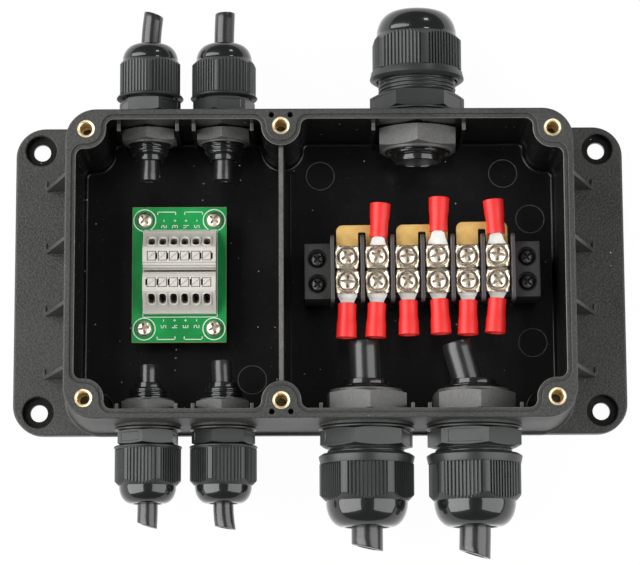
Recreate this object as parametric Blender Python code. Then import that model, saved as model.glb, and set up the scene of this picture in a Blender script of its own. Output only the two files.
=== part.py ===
"""Cable junction box for stage lighting: an open enclosure with seven cable glands, a board with
two spring terminals on the signal side and a six-pole barrier strip on the power side.

The back of the enclosure lies on z = 0, with its centre at the origin. X is the long way,
+Y points to the side with the single large gland, and +Z to the open side that the lid closes.
"""

import math

import bmesh
import bpy
from mathutils import Euler, Matrix, Vector

MM = 0.001
GAP = 0.3 * MM  # clearance between pieces that touch

# Enclosure: the rim sets the size, and the foot, flanges and inside follow from it
RIM_LENGTH = 200.2 * MM
RIM_WIDTH = 122.8 * MM
RIM_CORNER = 12.1 * MM
BOX_HEIGHT = 50.0 * MM
END_DRAFT = 2.4 * MM
SIDE_DRAFT = 1.2 * MM
FOOT_LENGTH = RIM_LENGTH + 2 * END_DRAFT
FOOT_WIDTH = RIM_WIDTH + 2 * SIDE_DRAFT
FOOT_CORNER = 13.5 * MM
END_WALL = 4.1 * MM
SIDE_WALL = 4.0 * MM
CAVITY_LENGTH = RIM_LENGTH - 2 * END_WALL
CAVITY_WIDTH = RIM_WIDTH - 2 * SIDE_WALL
FLOOR_THICKNESS = 3.0 * MM
LEDGE_WIDTH = 1.7 * MM
LEDGE_DEPTH = 1.0 * MM
FLANGE = 24.1 * MM
PLATE_LENGTH = RIM_LENGTH + 2 * FLANGE
PLATE_WIDTH = FOOT_WIDTH + 1.2 * MM
PLATE_THICKNESS = 6.5 * MM
PLATE_CORNER = 12.0 * MM

# Mounting holes in the flanges
MOUNT_HOLE = 7.0 * MM
MOUNT_INSET_X = 10.3 * MM
MOUNT_INSET_Y = 9.3 * MM
COUNTERBORE = 12.6 * MM
COUNTERBORE_DEPTH = 4.0 * MM

# Bosses and threads of the lid screws
BOSS_RADIUS = 7.8 * MM
BOSS_FILLET = 3.0 * MM
CORNER_BOSS_INSET = 4.0 * MM
CORNER_BOSS_X = CAVITY_LENGTH / 2 - CORNER_BOSS_INSET
CORNER_BOSS_Y = CAVITY_WIDTH / 2 - CORNER_BOSS_INSET
DIVIDER_X = -15.2 * MM
MIDDLE_BOSS_INSET = 2.9 * MM
MIDDLE_BOSS_Y = CAVITY_WIDTH / 2 - MIDDLE_BOSS_INSET
LID_THREAD = 4.3 * MM
LID_THREAD_DEPTH = 12.0 * MM
VENT_HOLE = 2.2 * MM
VENT_DEPTH = 10.0 * MM
VENT_OFFSET_X = 3.7 * MM
VENT_OFFSET_Y = 4.4 * MM

# Divider, gussets and the ribs beside the locknuts
DIVIDER_THICKNESS = 1.8 * MM
DIVIDER_TOP = BOX_HEIGHT - 5.0 * MM
GUSSETS = 4
GUSSET_PITCH = 25.8 * MM
GUSSET_MIDDLE_Y = -0.9 * MM
GUSSET_THICKNESS = 1.8 * MM
GUSSET_REACH = 11.9 * MM
GUSSET_TOP = BOX_HEIGHT - 9.0 * MM
RIB_THICKNESS = 1.5 * MM
RIB_DEPTH = 3.0 * MM
RIB_TOP = BOX_HEIGHT - 9.0 * MM


GRIP_CORNER = 5.0  # degrees either side of the middle of a corner of the sealing nut's grip


def gland_sizes(name, thread, steps, lengths, throat, mouth, cable):
    """Radii of a cable gland, in steps out from its thread, and its lengths along the axis."""
    sizes = {"name": name, "thread": thread, "throat": throat, "mouth": mouth, "cable": cable}
    sizes["bore"] = thread - steps["bore_wall"]
    sizes["barrel"] = thread + steps["barrel"]
    sizes["face"] = sizes["barrel"] + GAP + steps["nut_wall"]
    sizes["lip"] = sizes["face"] / math.cos(math.radians(30 - GRIP_CORNER)) + steps["lip"]
    sizes["dome"] = sizes["face"] - steps["dome"]
    sizes["hex_flat"] = 2 * (thread + steps["hexagon"])
    sizes["collar"] = thread + steps["collar"]
    sizes["locknut_flat"] = 2 * (thread + steps["locknut"])
    sizes["rib_offset"] = thread + steps["locknut"] + steps["rib"]
    sizes.update(lengths)
    return sizes


# Cable glands: M16 for the signal cables and M25 for the power cables
SMALL = gland_sizes(
    "small",
    thread=8.0 * MM,
    steps={
        "bore_wall": 3.0 * MM,
        "barrel": 2.5 * MM,
        "nut_wall": 0.9 * MM,
        "lip": 0.5 * MM,
        "dome": 0.6 * MM,
        "hexagon": 3.0 * MM,
        "collar": 5.3 * MM,
        "locknut": 2.4 * MM,
        "rib": 1.2 * MM,
    },
    lengths={
        "tail": 15.5 * MM,
        "collar_length": 0.9 * MM,
        "hex_length": 5.9 * MM,
        "lip_length": 2.4 * MM,
        "grip_length": 13.2 * MM,
        "dome_length": 7.0 * MM,
        "locknut_length": 5.0 * MM,
    },
    throat=4.3 * MM,
    mouth=6.0 * MM,
    cable=4.0 * MM,
)
LARGE = gland_sizes(
    "large",
    thread=12.5 * MM,
    steps={
        "bore_wall": 3.3 * MM,
        "barrel": 3.1 * MM,
        "nut_wall": 1.0 * MM,
        "lip": 0.45 * MM,
        "dome": 0.7 * MM,
        "hexagon": 4.0 * MM,
        "collar": 6.5 * MM,
        "locknut": 2.7 * MM,
        "rib": 2.8 * MM,
    },
    lengths={
        "tail": 17.0 * MM,
        "collar_length": 0.9 * MM,
        "hex_length": 8.7 * MM,
        "lip_length": 4.0 * MM,
        "grip_length": 14.6 * MM,
        "dome_length": 10.2 * MM,
        "locknut_length": 7.4 * MM,
    },
    throat=6.6 * MM,
    mouth=9.1 * MM,
    cable=6.2 * MM,
)
PAD_Y = FOOT_WIDTH / 2 + 0.1 * MM
PAD_MARGIN = 0.4 * MM
GLAND_Z = PLATE_THICKNESS + LARGE["collar"] + 1.5 * MM
SIGNAL_MIDDLE_X = -53.3 * MM
SIGNAL_HALF_PITCH = SMALL["lip"] + 1.5 * MM
POWER_MIDDLE_X = 39.5 * MM
POWER_HALF_PITCH = LARGE["lip"] + 2.2 * MM
CLOSED = GAP
LOOSE = 0.9 * MM
WIDE_OPEN = 4.4 * MM
# name, sizes, side (+1 top, -1 bottom), x, gap under the sealing nut, and the turns in degrees of
# the hexagon, the locknut and the sealing nut
GLANDS = (
    ("signal_a", SMALL, 1, SIGNAL_MIDDLE_X - SIGNAL_HALF_PITCH, CLOSED, (19, -3, 3)),
    ("signal_b", SMALL, 1, SIGNAL_MIDDLE_X + SIGNAL_HALF_PITCH, CLOSED, (-16.5, -2, -11)),
    ("signal_c", SMALL, -1, SIGNAL_MIDDLE_X - SIGNAL_HALF_PITCH, CLOSED, (-7, 2, 21.5)),
    ("signal_d", SMALL, -1, SIGNAL_MIDDLE_X + SIGNAL_HALF_PITCH, CLOSED, (-19.5, -2, -21.5)),
    ("power_in", LARGE, 1, POWER_MIDDLE_X, WIDE_OPEN, (32, -2, 8.5)),
    ("power_out_a", LARGE, -1, POWER_MIDDLE_X - POWER_HALF_PITCH, LOOSE, (-15, 4, 30)),
    ("power_out_b", LARGE, -1, POWER_MIDDLE_X + POWER_HALF_PITCH, LOOSE, (14, 6, 11)),
)
HEX_CORNER = 1 / math.cos(math.pi / 6)
LOCKNUT_CHAMFER = 1.4 * MM
BARREL_SHARE = 0.72  # the barrel's length over the nut's grip
TIP_SHARE = 0.25  # how far the clamping fingers reach into the dome
FINGER_THICKNESS = 1.0 * MM
THROAT_TAPER = 4.0 * MM
GRIP_BEVEL = 2.2 * MM
DOME_WALL = 1.6 * MM
DOME_STEPS = 3

# Cable stubs: the points that each centre line runs through, from the outer end inwards
CABLES = {
    "signal_a": ((-66.9, 105.6), (-67.8, 97.0), (-68.2, 84.0), (-68.2, 56.0), (-68.4, 36.9)),
    "signal_b": ((-38.0, 106.0), (-38.3, 97.0), (-38.4, 84.0), (-38.4, 56.0), (-38.6, 37.0)),
    "signal_c": ((-68.4, -101.3), (-68.2, -96.0), (-68.2, -84.0), (-68.2, -56.0), (-68.3, -37.6)),
    "signal_d": ((-37.6, -102.3), (-38.3, -96.0), (-38.4, -84.0), (-38.4, -56.0), (-39.2, -36.0)),
    "power_out_a": ((18.2, -110.3), (18.2, -100.0), (18.2, -84.0), (18.1, -56.0), (17.4, -28.4)),
    "power_out_b": ((60.4, -113.1), (60.7, -102.0), (60.8, -84.0), (60.3, -54.0), (54.5, -28.9)),
}
CABLE_STEP = 14.0 * MM

# Circuit board on its four posts
BOARD_X = -56.6 * MM
BOARD_Y = 0.4 * MM
BOARD_LENGTH = 55.2 * MM
BOARD_WIDTH = 38.0 * MM
BOARD_THICKNESS = 1.6 * MM
BOARD_TOP = 18.0 * MM
BOARD_HOLE_X = BOARD_WIDTH - 10.0 * MM
BOARD_HOLE_Y = BOARD_LENGTH - 10.9 * MM
SCREW_SHANK = 2.8 * MM
SCREW_LENGTH = 8.0 * MM
SCREW_HEAD = 5.8 * MM
SCREW_HEAD_HEIGHT = 2.2 * MM
BOARD_HOLE = SCREW_SHANK + 2 * GAP
POST_RADIUS = BOARD_HOLE / 2 + 1.7 * MM

# Spring terminals, back to back on the board
POLES = 6
PITCH = 4.43 * MM
TERMINAL_X = -56.2 * MM
TERMINAL_MIDDLE_Y = 1.0 * MM
TERMINAL_LENGTH = POLES * PITCH + 2.8 * MM
TERMINAL_HEIGHT = 10.0 * MM
TERMINAL_DEPTH = 16.6 * MM
TERMINAL_BACK = 0.35 * MM
WELL_NEAR = 3.1 * MM
WELL_DEEP = 3.8 * MM
WELL_WIDTH = PITCH - 0.8 * MM
WIRE_HOLE = 2.4 * MM
WIRE_HOLE_DEPTH = 5.0 * MM
WIRE_HOLE_SETBACK = 2.6 * MM
WIRE_HOLE_SIDES = 8
BACK_STEPS = ((0.0, -2.6), (0.7, -2.4), (1.0, -1.6), (2.4, 0.0))
SLOPE_START = 8.4 * MM
SLOPE_END_HEIGHT = 2.2 * MM
BUTTON_HEIGHT = 5.2 * MM
BUTTON_PROUD = 0.2 * MM
BUTTON_TRAVEL = 1.2 * MM
WELL_DROP = BUTTON_HEIGHT + BUTTON_TRAVEL + 2 * GAP

# Barrier strip, on its two pads
STRIP_X = 41.0 * MM
STRIP_Y = 0.5 * MM
STRIP_TURN = 0.5
POLE_PITCH = 12.0 * MM
BARRIER_THICKNESS = 1.5 * MM
END_BLOCK_LENGTH = 10.45 * MM
STRIP_LENGTH = POLES * POLE_PITCH + BARRIER_THICKNESS + 2 * END_BLOCK_LENGTH
STRIP_WIDTH = 22.5 * MM
STRIP_BOTTOM = 8.0 * MM
POLE_FLOOR = 25.5 * MM
END_BLOCK_TOP = 26.0 * MM
BARRIER_FOOT = 4.0 * MM
BARRIER_WIDTH = 27.2 * MM
BARRIER_TOP = 34.0 * MM
WASHER_SIZE = POLE_PITCH - BARRIER_THICKNESS - 1.3 * MM
WASHER_HEIGHT = 1.0 * MM
BAR_WIDTH = WASHER_SIZE - 1.2 * MM
BAR_LENGTH = 19.0 * MM
BAR_TOP = POLE_FLOOR + 1.2 * MM
ROW_OFFSET = 5.05 * MM
CLAMP_SHANK = 3.4 * MM
CLAMP_HEAD = 7.2 * MM
CLAMP_HEAD_HEIGHT = 2.4 * MM
END_SCREW_RECESS = 7.5 * MM
END_SCREW_DEPTH = 2.5 * MM
STRIP_PAD_LENGTH = 12.0 * MM
STRIP_PAD_WIDTH = 15.0 * MM

# Jumpers and fork terminals, stacked on the contact bars under the washers
SHEET = 0.8 * MM
JUMPER_NOTCH = BARRIER_THICKNESS + 1.5 * MM
JUMPER_LEG = WASHER_SIZE - 0.6 * MM
JUMPER_REACH = 13.2 * MM
JUMPER_BRIDGE = 3.0 * MM
JUMPER_CORNER = 2.6 * MM
SLOT_WIDTH = CLAMP_SHANK + 0.8 * MM
SLOT_DEPTH = 1.0 * MM
FORK_WIDTH = WASHER_SIZE - 1.2 * MM
NECK_WIDTH = 4.6 * MM
FORK_TIP = 3.4 * MM
FORK_SHOULDER = 4.0 * MM
FORK_TAPER = 1.6 * MM
NECK_RISE = 1.2 * MM
SLEEVE_START = 8.1 * MM
SLEEVE_LENGTH = 13.8 * MM
SLEEVE_RADIUS = (POLE_PITCH - BARRIER_THICKNESS) / 2 - 1.55 * MM
SLEEVE_BELL = SLEEVE_RADIUS + 0.45 * MM
SLEEVE_RISE = SLEEVE_RADIUS - SHEET / 2
SLEEVE_STEP = 0.55  # share of the sleeve's length before it widens
SLEEVE_BORE = SLEEVE_RADIUS - 1.4 * MM
SLEEVE_BORE_DEPTH = 8.0 * MM
# pole, row (+1 top, -1 bottom), lean in degrees towards +X, distance pulled out
FORKS = (
    (2, 1, 4.0, -0.9 * MM),
    (4, 1, 2.4, 1.2 * MM),
    (6, 1, -3.9, 0.0),
    (1, -1, -2.0, 0.8 * MM),
    (2, -1, -3.2, 0.8 * MM),
    (3, -1, 0.0, -0.1 * MM),
    (4, -1, 2.2, -0.4 * MM),
    (5, -1, -1.6, 0.1 * MM),
    (6, -1, -4.8, -0.4 * MM),
)
# first pole and lift of the bridge towards +Y
JUMPERS = ((1, 0.0), (3, 0.0), (5, 0.8 * MM))

# turns an outline drawn in X and Y into one in Y and Z, drawn out along X
DRAWN_ALONG_X = Matrix(((0, 0, 1, 0), (1, 0, 0, 0), (0, 1, 0, 0), (0, 0, 0, 1)))
GLAND_SIDES = 16
ROUND = 16  # sides of a plain round piece
COARSE = 10  # sides of a small one
SLEEVE_SIDES = 12
SLOT_STEPS = 4


def clear_scene():
    for old in list(bpy.data.objects):
        bpy.data.objects.remove(old, do_unlink=True)


def material(name, colour, roughness, metallic=0.0):
    made = bpy.data.materials.new(name)
    made.use_nodes = True
    shader = made.node_tree.nodes["Principled BSDF"]
    shader.inputs["Base Color"].default_value = (*colour, 1.0)
    shader.inputs["Roughness"].default_value = roughness
    shader.inputs["Metallic"].default_value = metallic
    return made


def counterclockwise(outline):
    area = 0.0
    for (ax, ay), (bx, by) in zip(outline, outline[1:] + outline[:1]):
        area += ax * by - bx * ay
    return outline if area > 0 else outline[::-1]


def arc(centre, radius, start, end, steps):
    """Points from angle start to angle end, in radians, both included."""
    points = []
    for step in range(steps + 1):
        angle = start + (end - start) * step / steps
        points.append((centre[0] + radius * math.cos(angle), centre[1] + radius * math.sin(angle)))
    return points


def circle(centre, radius, sides):
    return arc(centre, radius, 0.0, 2 * math.pi * (sides - 1) / sides, sides - 1)


def clear_radius(radius, sides):
    """Radius of a hole with this many sides whose flats clear a round piece of this radius."""
    return (radius + GAP) / math.cos(math.pi / sides)


def rounded_rectangle(length, width, corner, steps=5):
    outline = []
    for turn, (sx, sy) in enumerate(((1, 1), (-1, 1), (-1, -1), (1, -1))):
        centre = (sx * (length / 2 - corner), sy * (width / 2 - corner))
        outline += arc(centre, corner, turn * math.pi / 2, (turn + 1) * math.pi / 2, steps)
    return outline


def rectangle(x0, y0, x1, y1):
    return [(x0, y0), (x1, y0), (x1, y1), (x0, y1)]


def hexagon(across_flats):
    """Corner first, on the +Y axis."""
    corner = across_flats / 2 * HEX_CORNER
    outline = []
    for side in range(6):
        angle = math.pi / 2 + side * math.pi / 3
        outline.append((corner * math.cos(angle), corner * math.sin(angle)))
    return outline


def add_loft(mesh, lower, upper, low, high):
    """A solid between two outlines with as many points, seen counterclockwise from +Z."""
    below = [mesh.verts.new((x, y, low)) for x, y in lower]
    above = [mesh.verts.new((x, y, high)) for x, y in upper]
    count = len(below)
    for i in range(count):
        j = (i + 1) % count
        mesh.faces.new((below[i], below[j], above[j], above[i]))
    mesh.faces.new(above)
    mesh.faces.new(below[::-1])


def add_prism(mesh, outline, low, high):
    outline = counterclockwise(outline)
    add_loft(mesh, outline, outline, low, high)


def add_placed_prism(mesh, outline, low, high, place):
    """A prism drawn in its own frame and moved by the matrix place."""
    first = len(mesh.verts)
    add_prism(mesh, outline, low, high)
    mesh.verts.ensure_lookup_table()
    bmesh.ops.transform(mesh, matrix=place, verts=mesh.verts[first:])


def add_turned(mesh, profile, sides, centre=(0.0, 0.0)):
    """A solid turned about the Z axis through centre. The profile runs from the lowest point on
    the axis to the highest, or round a closed loop that stays clear of the axis."""
    rings = []
    for radius, height in profile:
        if radius == 0:
            rings.append([mesh.verts.new((centre[0], centre[1], height))])
            continue
        rings.append([mesh.verts.new((x, y, height)) for x, y in circle(centre, radius, sides)])
    closed = profile[0][0] != 0
    pairs = list(zip(rings, rings[1:]))
    if closed:
        pairs.append((rings[-1], rings[0]))
    for lower, upper in pairs:
        for i in range(sides):
            j = (i + 1) % sides
            corners = [lower[i % len(lower)], lower[j % len(lower)]]
            corners += [upper[j % len(upper)], upper[i % len(upper)]]
            unique = list(dict.fromkeys(corners))
            if len(unique) > 2:
                mesh.faces.new(unique)


def add_tube(mesh, rings):
    """A closed loop of rings, each an outline with as many points and its height."""
    made = [[mesh.verts.new((x, y, height)) for x, y in outline] for outline, height in rings]
    for lower, upper in zip(made, made[1:] + made[:1]):
        for i in range(len(lower)):
            j = (i + 1) % len(lower)
            mesh.faces.new((lower[i], lower[j], upper[j], upper[i]))


def finish_mesh(mesh, name):
    """The bmesh as mesh data with its faces pointing out."""
    bmesh.ops.recalc_face_normals(mesh, faces=mesh.faces)
    data = bpy.data.meshes.new(name)
    mesh.to_mesh(data)
    mesh.free()
    return data


def place_object(name, data, finish, parent=None, location=(0, 0, 0), rotation=(0, 0, 0)):
    made = bpy.data.objects.new(name, data)
    bpy.context.scene.collection.objects.link(made)
    if finish is not None and not data.materials:
        data.materials.append(finish)
    made.parent = parent
    made.location = location
    made.rotation_euler = rotation
    return made


def combine(target, mesh, operation):
    """Applies a Boolean between the object and a helper made from the bmesh."""
    helper = place_object("helper", finish_mesh(mesh, "helper"), None)
    modifier = target.modifiers.new(operation.lower(), "BOOLEAN")
    modifier.object = helper
    modifier.operation = operation
    bpy.context.view_layer.update()
    graph = bpy.context.evaluated_depsgraph_get()
    result = bpy.data.meshes.new_from_object(target.evaluated_get(graph))
    target.modifiers.clear()
    old = target.data
    result.name = old.name
    target.data = result
    bpy.data.meshes.remove(old)
    used = helper.data
    bpy.data.objects.remove(helper)
    bpy.data.meshes.remove(used)


def shade(made, angle=35):
    made.data.shade_smooth()
    made.data.set_sharp_from_angle(angle=math.radians(angle))


def boss_fillet(boss, radius, fillet, wall, along):
    """Centre of the round between a boss and a wall, which is (unit normal, distance)."""
    normal, distance = wall
    tangent = Vector((normal.y, -normal.x)) * along
    rise = distance + fillet - boss.dot(normal)
    run = math.sqrt((radius + fillet) ** 2 - rise**2)
    return boss + tangent * run + normal * rise


def turn_between(centre, start, end, direction):
    """Angles about centre from start to end, turning counterclockwise for +1."""
    first = math.atan2(start.y - centre.y, start.x - centre.x)
    last = math.atan2(end.y - centre.y, end.x - centre.x)
    while (last - first) * direction < 0:
        last += 2 * math.pi * direction
    return first, last


def cavity_outline(grow):
    """Plan of the inside, counterclockwise, with the six bosses standing into it. The walls and
    bosses are cut back by grow, as at the ledge under the rim."""
    half_x = CAVITY_LENGTH / 2 + grow
    half_y = CAVITY_WIDTH / 2 + grow
    radius = BOSS_RADIUS - grow
    fillet = BOSS_FILLET + grow
    south = (Vector((0, 1)), -half_y)
    east = (Vector((-1, 0)), -half_x)
    north = (Vector((0, -1)), -half_y)
    west = (Vector((1, 0)), -half_x)
    stops = (
        (Vector((DIVIDER_X, -MIDDLE_BOSS_Y)), south, south),
        (Vector((CORNER_BOSS_X, -CORNER_BOSS_Y)), south, east),
        (Vector((CORNER_BOSS_X, CORNER_BOSS_Y)), east, north),
        (Vector((DIVIDER_X, MIDDLE_BOSS_Y)), north, north),
        (Vector((-CORNER_BOSS_X, CORNER_BOSS_Y)), north, west),
        (Vector((-CORNER_BOSS_X, -CORNER_BOSS_Y)), west, south),
    )
    outline = []
    for boss, before, after in stops:
        first = boss_fillet(boss, radius, fillet, before, -1)
        second = boss_fillet(boss, radius, fillet, after, 1)
        on_wall = first - before[0] * fillet
        meets = first.lerp(boss, fillet / (radius + fillet))
        leaves = second.lerp(boss, fillet / (radius + fillet))
        off_wall = second - after[0] * fillet
        outline += arc(first, fillet, *turn_between(first, on_wall, meets, 1), 2)
        outline += arc(boss, radius, *turn_between(boss, meets, leaves, -1), 8)[1:-1]
        outline += arc(second, fillet, *turn_between(second, leaves, off_wall, 1), 2)
    return outline


def gland_axes():
    for name, kind, side, x, opening, turns in GLANDS:
        yield name, kind, side, x


def build_enclosure(finish):
    plate = bmesh.new()
    add_prism(plate, rounded_rectangle(PLATE_LENGTH, PLATE_WIDTH, PLATE_CORNER), 0, PLATE_THICKNESS)
    box = place_object("enclosure", finish_mesh(plate, "enclosure"), finish)

    walls = bmesh.new()
    foot = rounded_rectangle(FOOT_LENGTH, FOOT_WIDTH, FOOT_CORNER)
    rim = rounded_rectangle(RIM_LENGTH, RIM_WIDTH, RIM_CORNER)
    add_loft(walls, foot, rim, PLATE_THICKNESS / 2, BOX_HEIGHT)
    combine(box, walls, "UNION")

    gussets = bmesh.new()
    for side in (1, -1):
        for number in range(GUSSETS):
            y = GUSSET_MIDDLE_Y + (number - (GUSSETS - 1) / 2) * GUSSET_PITCH
            tip = side * (RIM_LENGTH / 2 + GUSSET_REACH)
            root = side * (RIM_LENGTH / 2 - 1 * MM)
            web = [(tip, PLATE_THICKNESS / 2), (tip, PLATE_THICKNESS)]
            web += [(side * RIM_LENGTH / 2, GUSSET_TOP), (root, GUSSET_TOP)]
            web += [(root, PLATE_THICKNESS / 2)]
            near = [gussets.verts.new((x, y - GUSSET_THICKNESS / 2, z)) for x, z in web]
            far = [gussets.verts.new((x, y + GUSSET_THICKNESS / 2, z)) for x, z in web]
            for i in range(len(web)):
                j = (i + 1) % len(web)
                gussets.faces.new((near[i], near[j], far[j], far[i]))
            gussets.faces.new(near[::-1])
            gussets.faces.new(far)
    combine(box, gussets, "UNION")

    pads = bmesh.new()
    for name, kind, side, x in gland_axes():
        disc = circle((0, 0), kind["collar"] + PAD_MARGIN, GLAND_SIDES)
        add_placed_prism(pads, disc, CAVITY_WIDTH / 2 + MM, PAD_Y, gland_matrix(side, x))
    combine(box, pads, "UNION")

    cavity = bmesh.new()
    add_prism(cavity, cavity_outline(0), FLOOR_THICKNESS, BOX_HEIGHT + MM)
    combine(box, cavity, "DIFFERENCE")
    ledge = bmesh.new()
    add_prism(ledge, cavity_outline(LEDGE_WIDTH), BOX_HEIGHT - LEDGE_DEPTH, BOX_HEIGHT + MM)
    combine(box, ledge, "DIFFERENCE")

    inside = bmesh.new()
    sunk = FLOOR_THICKNESS / 2
    reach = MIDDLE_BOSS_Y - BOSS_RADIUS / 2
    half = DIVIDER_THICKNESS / 2
    divider = rectangle(DIVIDER_X - half, -reach, DIVIDER_X + half, reach)
    add_prism(inside, divider, sunk, DIVIDER_TOP)
    for name, kind, side, x in gland_axes():
        for offset in (-kind["rib_offset"], kind["rib_offset"]):
            near = side * (CAVITY_WIDTH / 2 - RIB_DEPTH)
            far = side * (CAVITY_WIDTH / 2 + MM)
            left = x + offset - RIB_THICKNESS / 2
            rib = rectangle(left, near, left + RIB_THICKNESS, far)
            add_prism(inside, rib, sunk, RIB_TOP)
    for x, y in board_holes():
        post = [(0, sunk), (POST_RADIUS, sunk), (POST_RADIUS, board_bottom() - GAP)]
        post += [(0, board_bottom() - GAP)]
        add_turned(inside, post, ROUND, (x, y))
    for end in (1, -1):
        outer = STRIP_X + end * STRIP_LENGTH / 2
        inner = outer - end * STRIP_PAD_LENGTH
        half = STRIP_PAD_WIDTH / 2
        pad = rectangle(outer, STRIP_Y - half, inner, STRIP_Y + half)
        add_prism(inside, pad, sunk, STRIP_BOTTOM - GAP)
    combine(box, inside, "UNION")

    holes = bmesh.new()
    for sx in (1, -1):
        for sy in (1, -1):
            centre = (sx * (PLATE_LENGTH / 2 - MOUNT_INSET_X), sy * (PLATE_WIDTH / 2 - MOUNT_INSET_Y))
            shelf = PLATE_THICKNESS - COUNTERBORE_DEPTH
            hole = [(0, -MM), (MOUNT_HOLE / 2, -MM), (MOUNT_HOLE / 2, shelf)]
            hole += [(COUNTERBORE / 2, shelf), (COUNTERBORE / 2, PLATE_THICKNESS + MM)]
            hole += [(0, PLATE_THICKNESS + MM)]
            add_turned(holes, hole, ROUND, centre)
    for x, y in lid_screws():
        bottom = BOX_HEIGHT - LID_THREAD_DEPTH
        add_prism(holes, circle((x, y), LID_THREAD / 2, COARSE), bottom, BOX_HEIGHT + MM)
    for sy in (1, -1):
        for sx in (1, -1):
            centre = (DIVIDER_X + sx * VENT_OFFSET_X, sy * (MIDDLE_BOSS_Y + VENT_OFFSET_Y))
            vent = circle(centre, VENT_HOLE / 2, COARSE)
            add_prism(holes, vent, BOX_HEIGHT - VENT_DEPTH, BOX_HEIGHT + MM)
    for place in board_holes():
        add_prism(holes, circle(place, BOARD_HOLE / 2, COARSE), BOARD_TOP - SCREW_LENGTH - MM, BOARD_TOP)
    for name, kind, side, x in gland_axes():
        bore = circle((0, 0), clear_radius(kind["thread"], GLAND_SIDES), GLAND_SIDES)
        add_placed_prism(holes, bore, CAVITY_WIDTH / 2 - MM, PAD_Y + MM, gland_matrix(side, x))
    combine(box, holes, "DIFFERENCE")
    shade(box)
    return box


def lid_screws():
    for sx in (1, -1):
        for sy in (1, -1):
            yield sx * CORNER_BOSS_X, sy * CORNER_BOSS_Y
    for sy in (1, -1):
        yield DIVIDER_X, sy * MIDDLE_BOSS_Y


def gland_matrix(side, x):
    """Local +Z runs outwards along the gland's axis from the middle of the box."""
    turn = Matrix.Rotation(-side * math.pi / 2, 4, "X")
    return Matrix.Translation((x, 0, GLAND_Z)) @ turn


def gland_body_mesh(kind):
    """Local z = 0 is the outer face of the pad that the collar bears on."""
    tail = -kind["tail"]
    hex_low = GAP + kind["collar_length"]
    hex_high = hex_low + kind["hex_length"]
    barrel_end = hex_high + kind["grip_length"] * BARREL_SHARE
    tip = hex_high + kind["lip_length"] + kind["grip_length"] + kind["dome_length"] * TIP_SHARE
    outer = [(0, tail), (kind["thread"], tail), (kind["thread"], GAP)]
    outer += [(kind["collar"], GAP), (kind["collar"], hex_low)]
    outer += [(kind["barrel"], hex_low), (kind["barrel"], barrel_end)]
    outer += [(kind["throat"] + FINGER_THICKNESS, tip), (0, tip)]
    tube = bmesh.new()
    add_turned(tube, outer, GLAND_SIDES)
    body = place_object("gland", finish_mesh(tube, kind["name"] + "_gland_body"), None)
    nut = bmesh.new()
    add_prism(nut, hexagon(kind["hex_flat"]), hex_low - GAP, hex_high)
    combine(body, nut, "UNION")
    bore = bmesh.new()
    taper = barrel_end - THROAT_TAPER / 2
    hole = [(0, tail - MM), (kind["bore"], tail - MM), (kind["bore"], taper)]
    hole += [(kind["throat"], taper + THROAT_TAPER), (kind["throat"], tip + MM), (0, tip + MM)]
    add_turned(bore, hole, GLAND_SIDES)
    combine(body, bore, "DIFFERENCE")
    data = body.data
    bpy.data.objects.remove(body)
    return data


def grip_angles():
    """Both ends of each blunt corner, the first on the +X axis, and three points on each face."""
    step = (60 - 2 * GRIP_CORNER) / 4
    for side in range(6):
        for angle in (-GRIP_CORNER, GRIP_CORNER, GRIP_CORNER + step, 30, 60 - GRIP_CORNER - step):
            yield 60 * side + angle


def grip_ring(radius):
    return [
        (radius * math.cos(math.radians(angle)), radius * math.sin(math.radians(angle)))
        for angle in grip_angles()
    ]


def grip_outline(face, limit):
    """The hexagon of this inner radius, cut back to the circle of radius limit."""
    outline = []
    for angle in grip_angles():
        radius = min(limit, face / math.cos(math.radians((angle + 360) % 60 - 30)))
        turn = math.radians(angle)
        outline.append((radius * math.cos(turn), radius * math.sin(turn)))
    return outline


def sealing_nut_mesh(kind):
    """Local z = 0 is the nut's inner end face, and a corner of its hexagonal grip lies on +X. The
    dome closes down to the cable's mouth."""
    grip_low = kind["lip_length"]
    grip_high = grip_low + kind["grip_length"]
    top = grip_high + kind["dome_length"]
    rings = [(grip_ring(kind["lip"]), 0), (grip_ring(kind["lip"]), grip_low)]
    rings += [(grip_outline(kind["face"], kind["lip"]), grip_low)]
    rings += [(grip_outline(kind["face"], kind["lip"]), grip_high - GRIP_BEVEL)]
    rings += [(grip_outline(kind["face"], kind["face"] + GRIP_BEVEL / 4), grip_high - GRIP_BEVEL / 4)]
    rings += [(grip_ring(kind["dome"]), grip_high)]
    for step in range(1, DOME_STEPS + 1):
        angle = math.pi / 2 * step / DOME_STEPS
        radius = kind["mouth"] + (kind["dome"] - kind["mouth"]) * math.cos(angle)
        rings.append((grip_ring(radius), grip_high + kind["dome_length"] * math.sin(angle)))
    widest_step = math.radians((60 - 2 * GRIP_CORNER) / 4)
    bore = (kind["barrel"] + GAP) / math.cos(widest_step / 2)
    rings += [(grip_ring(kind["mouth"]), top - DOME_WALL)]
    rings += [(grip_ring(bore), grip_high - GRIP_BEVEL), (grip_ring(bore), 0)]
    nut = bmesh.new()
    add_tube(nut, rings)
    return finish_mesh(nut, kind["name"] + "_sealing_nut")


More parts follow.
